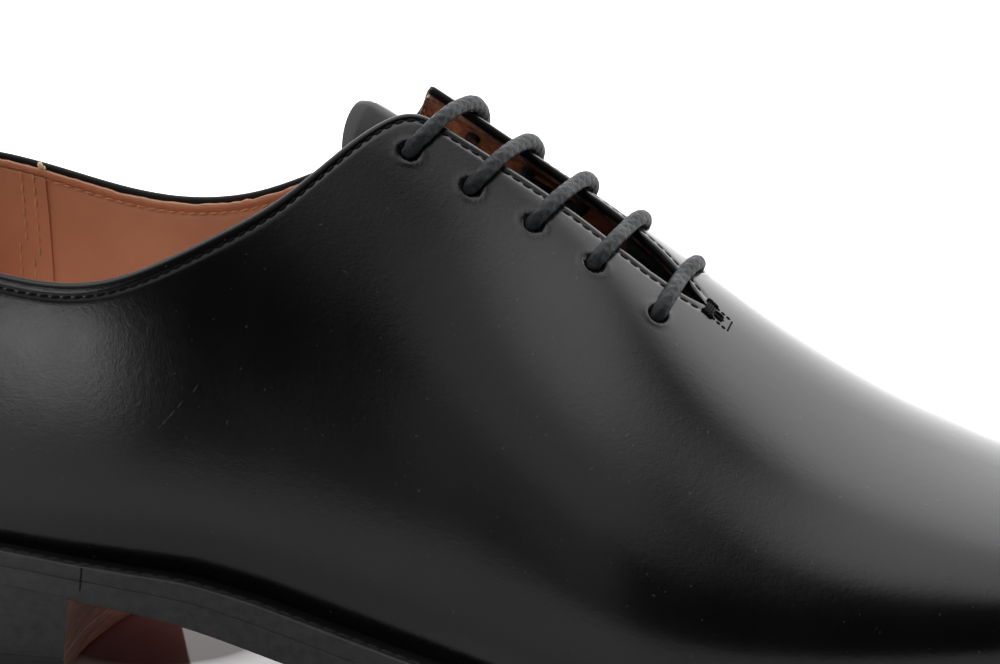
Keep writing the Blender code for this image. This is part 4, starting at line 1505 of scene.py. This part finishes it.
def black_dressing():
    return one_colour("black_dressing", (0.006, 0.006, 0.006), 0.6, 0.2, (1300, 4), 0.0002, 0.4)


def plain_thread(name, colour, roughness):
    return one_colour(name, colour, roughness, 0.15, (3000, 3), 0.0001, 0.4)


def black_rubber():
    return one_colour("black_rubber", (0.018, 0.018, 0.018), 0.6, 0.5, (900, 3), 0.0001, 0.3)


# Stage, light and camera


FLOOR_HALF_WIDTH = 2.6
FLOOR_FRONT = -1.6
FLOOR_BACK = 3.6
FLOOR_GLOW_START = 0.08
FLOOR_GLOW_FULL = 0.22
FLOOR_DARK_START = -0.19
FLOOR_DARK_END = -0.25

# Painted shade, with a painted reddish reflection of the sole, on the floor in the corner between the heel
# and the waist
SHADE_PAINT_PLACE = (72 * MM, 4 * MM, 0.0)
PATCH_DARK = 20 * MM
PATCH_END = 28 * MM

# A white card that stands close by on the heel's side and shows in the quarter
CARD_PLACE = (-38 * MM, -250 * MM, 44 * MM)
CARD_SIZE = (84 * MM, 84 * MM)
CARD_POWER = 0.0031
CARD_AIM = 15
CARD_SPREAD = 30
LEAST_LIGHT = 0.015


def build_stage():
    mesh = bpy.data.meshes.new("floor")
    low = -FLOOR_HALF_WIDTH
    high = FLOOR_HALF_WIDTH
    corners = [(low, FLOOR_FRONT, 0), (high, FLOOR_FRONT, 0), (high, FLOOR_BACK, 0), (low, FLOOR_BACK, 0)]
    mesh.from_pydata(corners, [], [(0, 1, 2, 3)])
    mat, tree, shader = new_material("floor", (0.6, 0.6, 0.6), 0.07)
    place = tree.nodes.new("ShaderNodeTexCoord").outputs["Object"]
    along = axis_of(tree, place, "Y")
    glow = map_range(tree, along, FLOOR_GLOW_START, FLOOR_GLOW_FULL, 0.0, 0.9)
    shade = map_range(tree, along, FLOOR_DARK_END, FLOOR_DARK_START, 0.0, 1.0)
    # The floor turns dark reddish and less glossy near this place: painted shade and painted reflection of
    # the sole
    away = vector_math(tree, "DISTANCE", "Value", place, np.array(SHADE_PAINT_PLACE) - ORIGIN)
    shade_paint = map_range(tree, away, PATCH_DARK, PATCH_END, 0.0, 1.0)
    pale = mix_colours(tree, shade_paint, (0.16, 0.05, 0.05), (0.62, 0.62, 0.62))
    feed(tree, shader.inputs["Specular IOR Level"], map_range(tree, shade_paint, 0.0, 1.0, 0.035, 0.5))
    feed(tree, shader.inputs["Base Color"], mix_colours(tree, shade, (0.02, 0.02, 0.02), pale))
    feed(tree, shader.inputs["Emission Color"], (1, 1, 1, 1))
    feed(tree, shader.inputs["Emission Strength"], glow)
    mesh.materials.append(mat)
    floor = add_object("floor", mesh)


def build_light():
    """A studio's soft surroundings: bright overhead and behind, dark in front, a card to the side."""
    world = bpy.data.worlds.new("studio")
    bpy.context.scene.world = world
    world.use_nodes = True
    tree = world.node_tree
    way = tree.nodes.new("ShaderNodeTexCoord").outputs["Generated"]

    def soft(value, low, high, strength):
        return map_range(tree, value, low, high, 0.0, strength, interpolation_type="SMOOTHSTEP")

    def weighted(x, y, z):
        return vector_math(tree, "DOT_PRODUCT", "Value", way, (x, y, z))

    def toward(azimuth, elevation):
        a = np.radians(azimuth)
        e = np.radians(elevation)
        return weighted(np.sin(a) * np.cos(e), -np.cos(a) * np.cos(e), np.sin(e))

    overhead = soft(weighted(-0.38, 0, 1), 0.67, 0.93, 1.7)
    low_front = soft(weighted(-0.6, -0.6, 1), 1.0, 1.14, 0.6)
    behind = soft(weighted(0, 1, 0), 0.02, 0.52, 2.5)
    side = soft(toward(-40, 14), 0.93, 0.985, 0.3)
    total = overhead
    for other in (behind, side, low_front):
        total = calculate(tree, "MAXIMUM", total, other)
    back = tree.nodes["Background"]
    feed(tree, back.inputs["Strength"], calculate(tree, "ADD", total, LEAST_LIGHT))
    feed(tree, back.inputs["Color"], (1, 1, 1, 1))

    data = bpy.data.lights.new("near_card", "AREA")
    data.shape = "RECTANGLE"
    data.size, data.size_y = CARD_SIZE
    data.energy = CARD_POWER
    data.spread = np.radians(CARD_SPREAD)
    card = add_object("near_card", data)
    card.location = np.array(CARD_PLACE) - ORIGIN
    card.rotation_euler = (np.radians(90), 0, -np.radians(CARD_AIM))


def build_camera():
    a = np.radians(VIEW_AZIMUTH)
    e = np.radians(VIEW_ELEVATION)
    back = np.array([np.sin(a) * np.cos(e), -np.cos(a) * np.cos(e), np.sin(e)])
    right = np.array([np.cos(a), np.sin(a), 0.0])
    up = np.cross(back, right)
    place = np.array(VIEW_TARGET) - ORIGIN + VIEW_DISTANCE * back
    matrix = Matrix.Identity(4)
    for k, axis in enumerate((right, up, back, place)):
        for row in range(3):
            matrix[row][k] = axis[row]
    data = bpy.data.cameras.new("camera")
    data.lens = LENS
    data.sensor_width = SENSOR
    data.clip_start = 0.01
    data.clip_end = 20
    camera = add_object("camera", data)
    camera.matrix_world = matrix
    bpy.context.scene.camera = camera


def build_scene():
    calf = black_calf()
    tan = tan_lining()
    edge = burnished_edge()
    thread = plain_thread("black_thread", (0.004, 0.004, 0.004), 0.7)
    tan_thread = plain_thread("tan_thread", (0.72, 0.47, 0.28), 0.7)
    welt_thread = plain_thread("welt_thread", (0.03, 0.03, 0.032), 0.5)
    wall = Wall()
    build_upper(wall, calf, black_dressing())
    build_lining(wall, tan)
    build_heel_grip(wall, tan, tan_thread, plain_thread("glue", (0.85, 0.74, 0.52), 0.6))
    build_tack(thread, plain_thread("slot_painted_shade", (0.001, 0.001, 0.001), 0.9))
    build_edge_stitches(wall, thread, tan_thread)
    build_lace(waxed_lace())
    build_tongue(calf, tan)
    build_welt(edge, black_dressing(), welt_thread)
    build_seat_joint(black_dressing())
    build_outsole(sole_leather(), edge)
    build_insole(tan)
    build_heel(edge, breast_leather(), black_rubber())
    build_stage()
    build_light()
    build_camera()
    bpy.context.scene.view_settings.view_transform = "Standard"


build_scene()
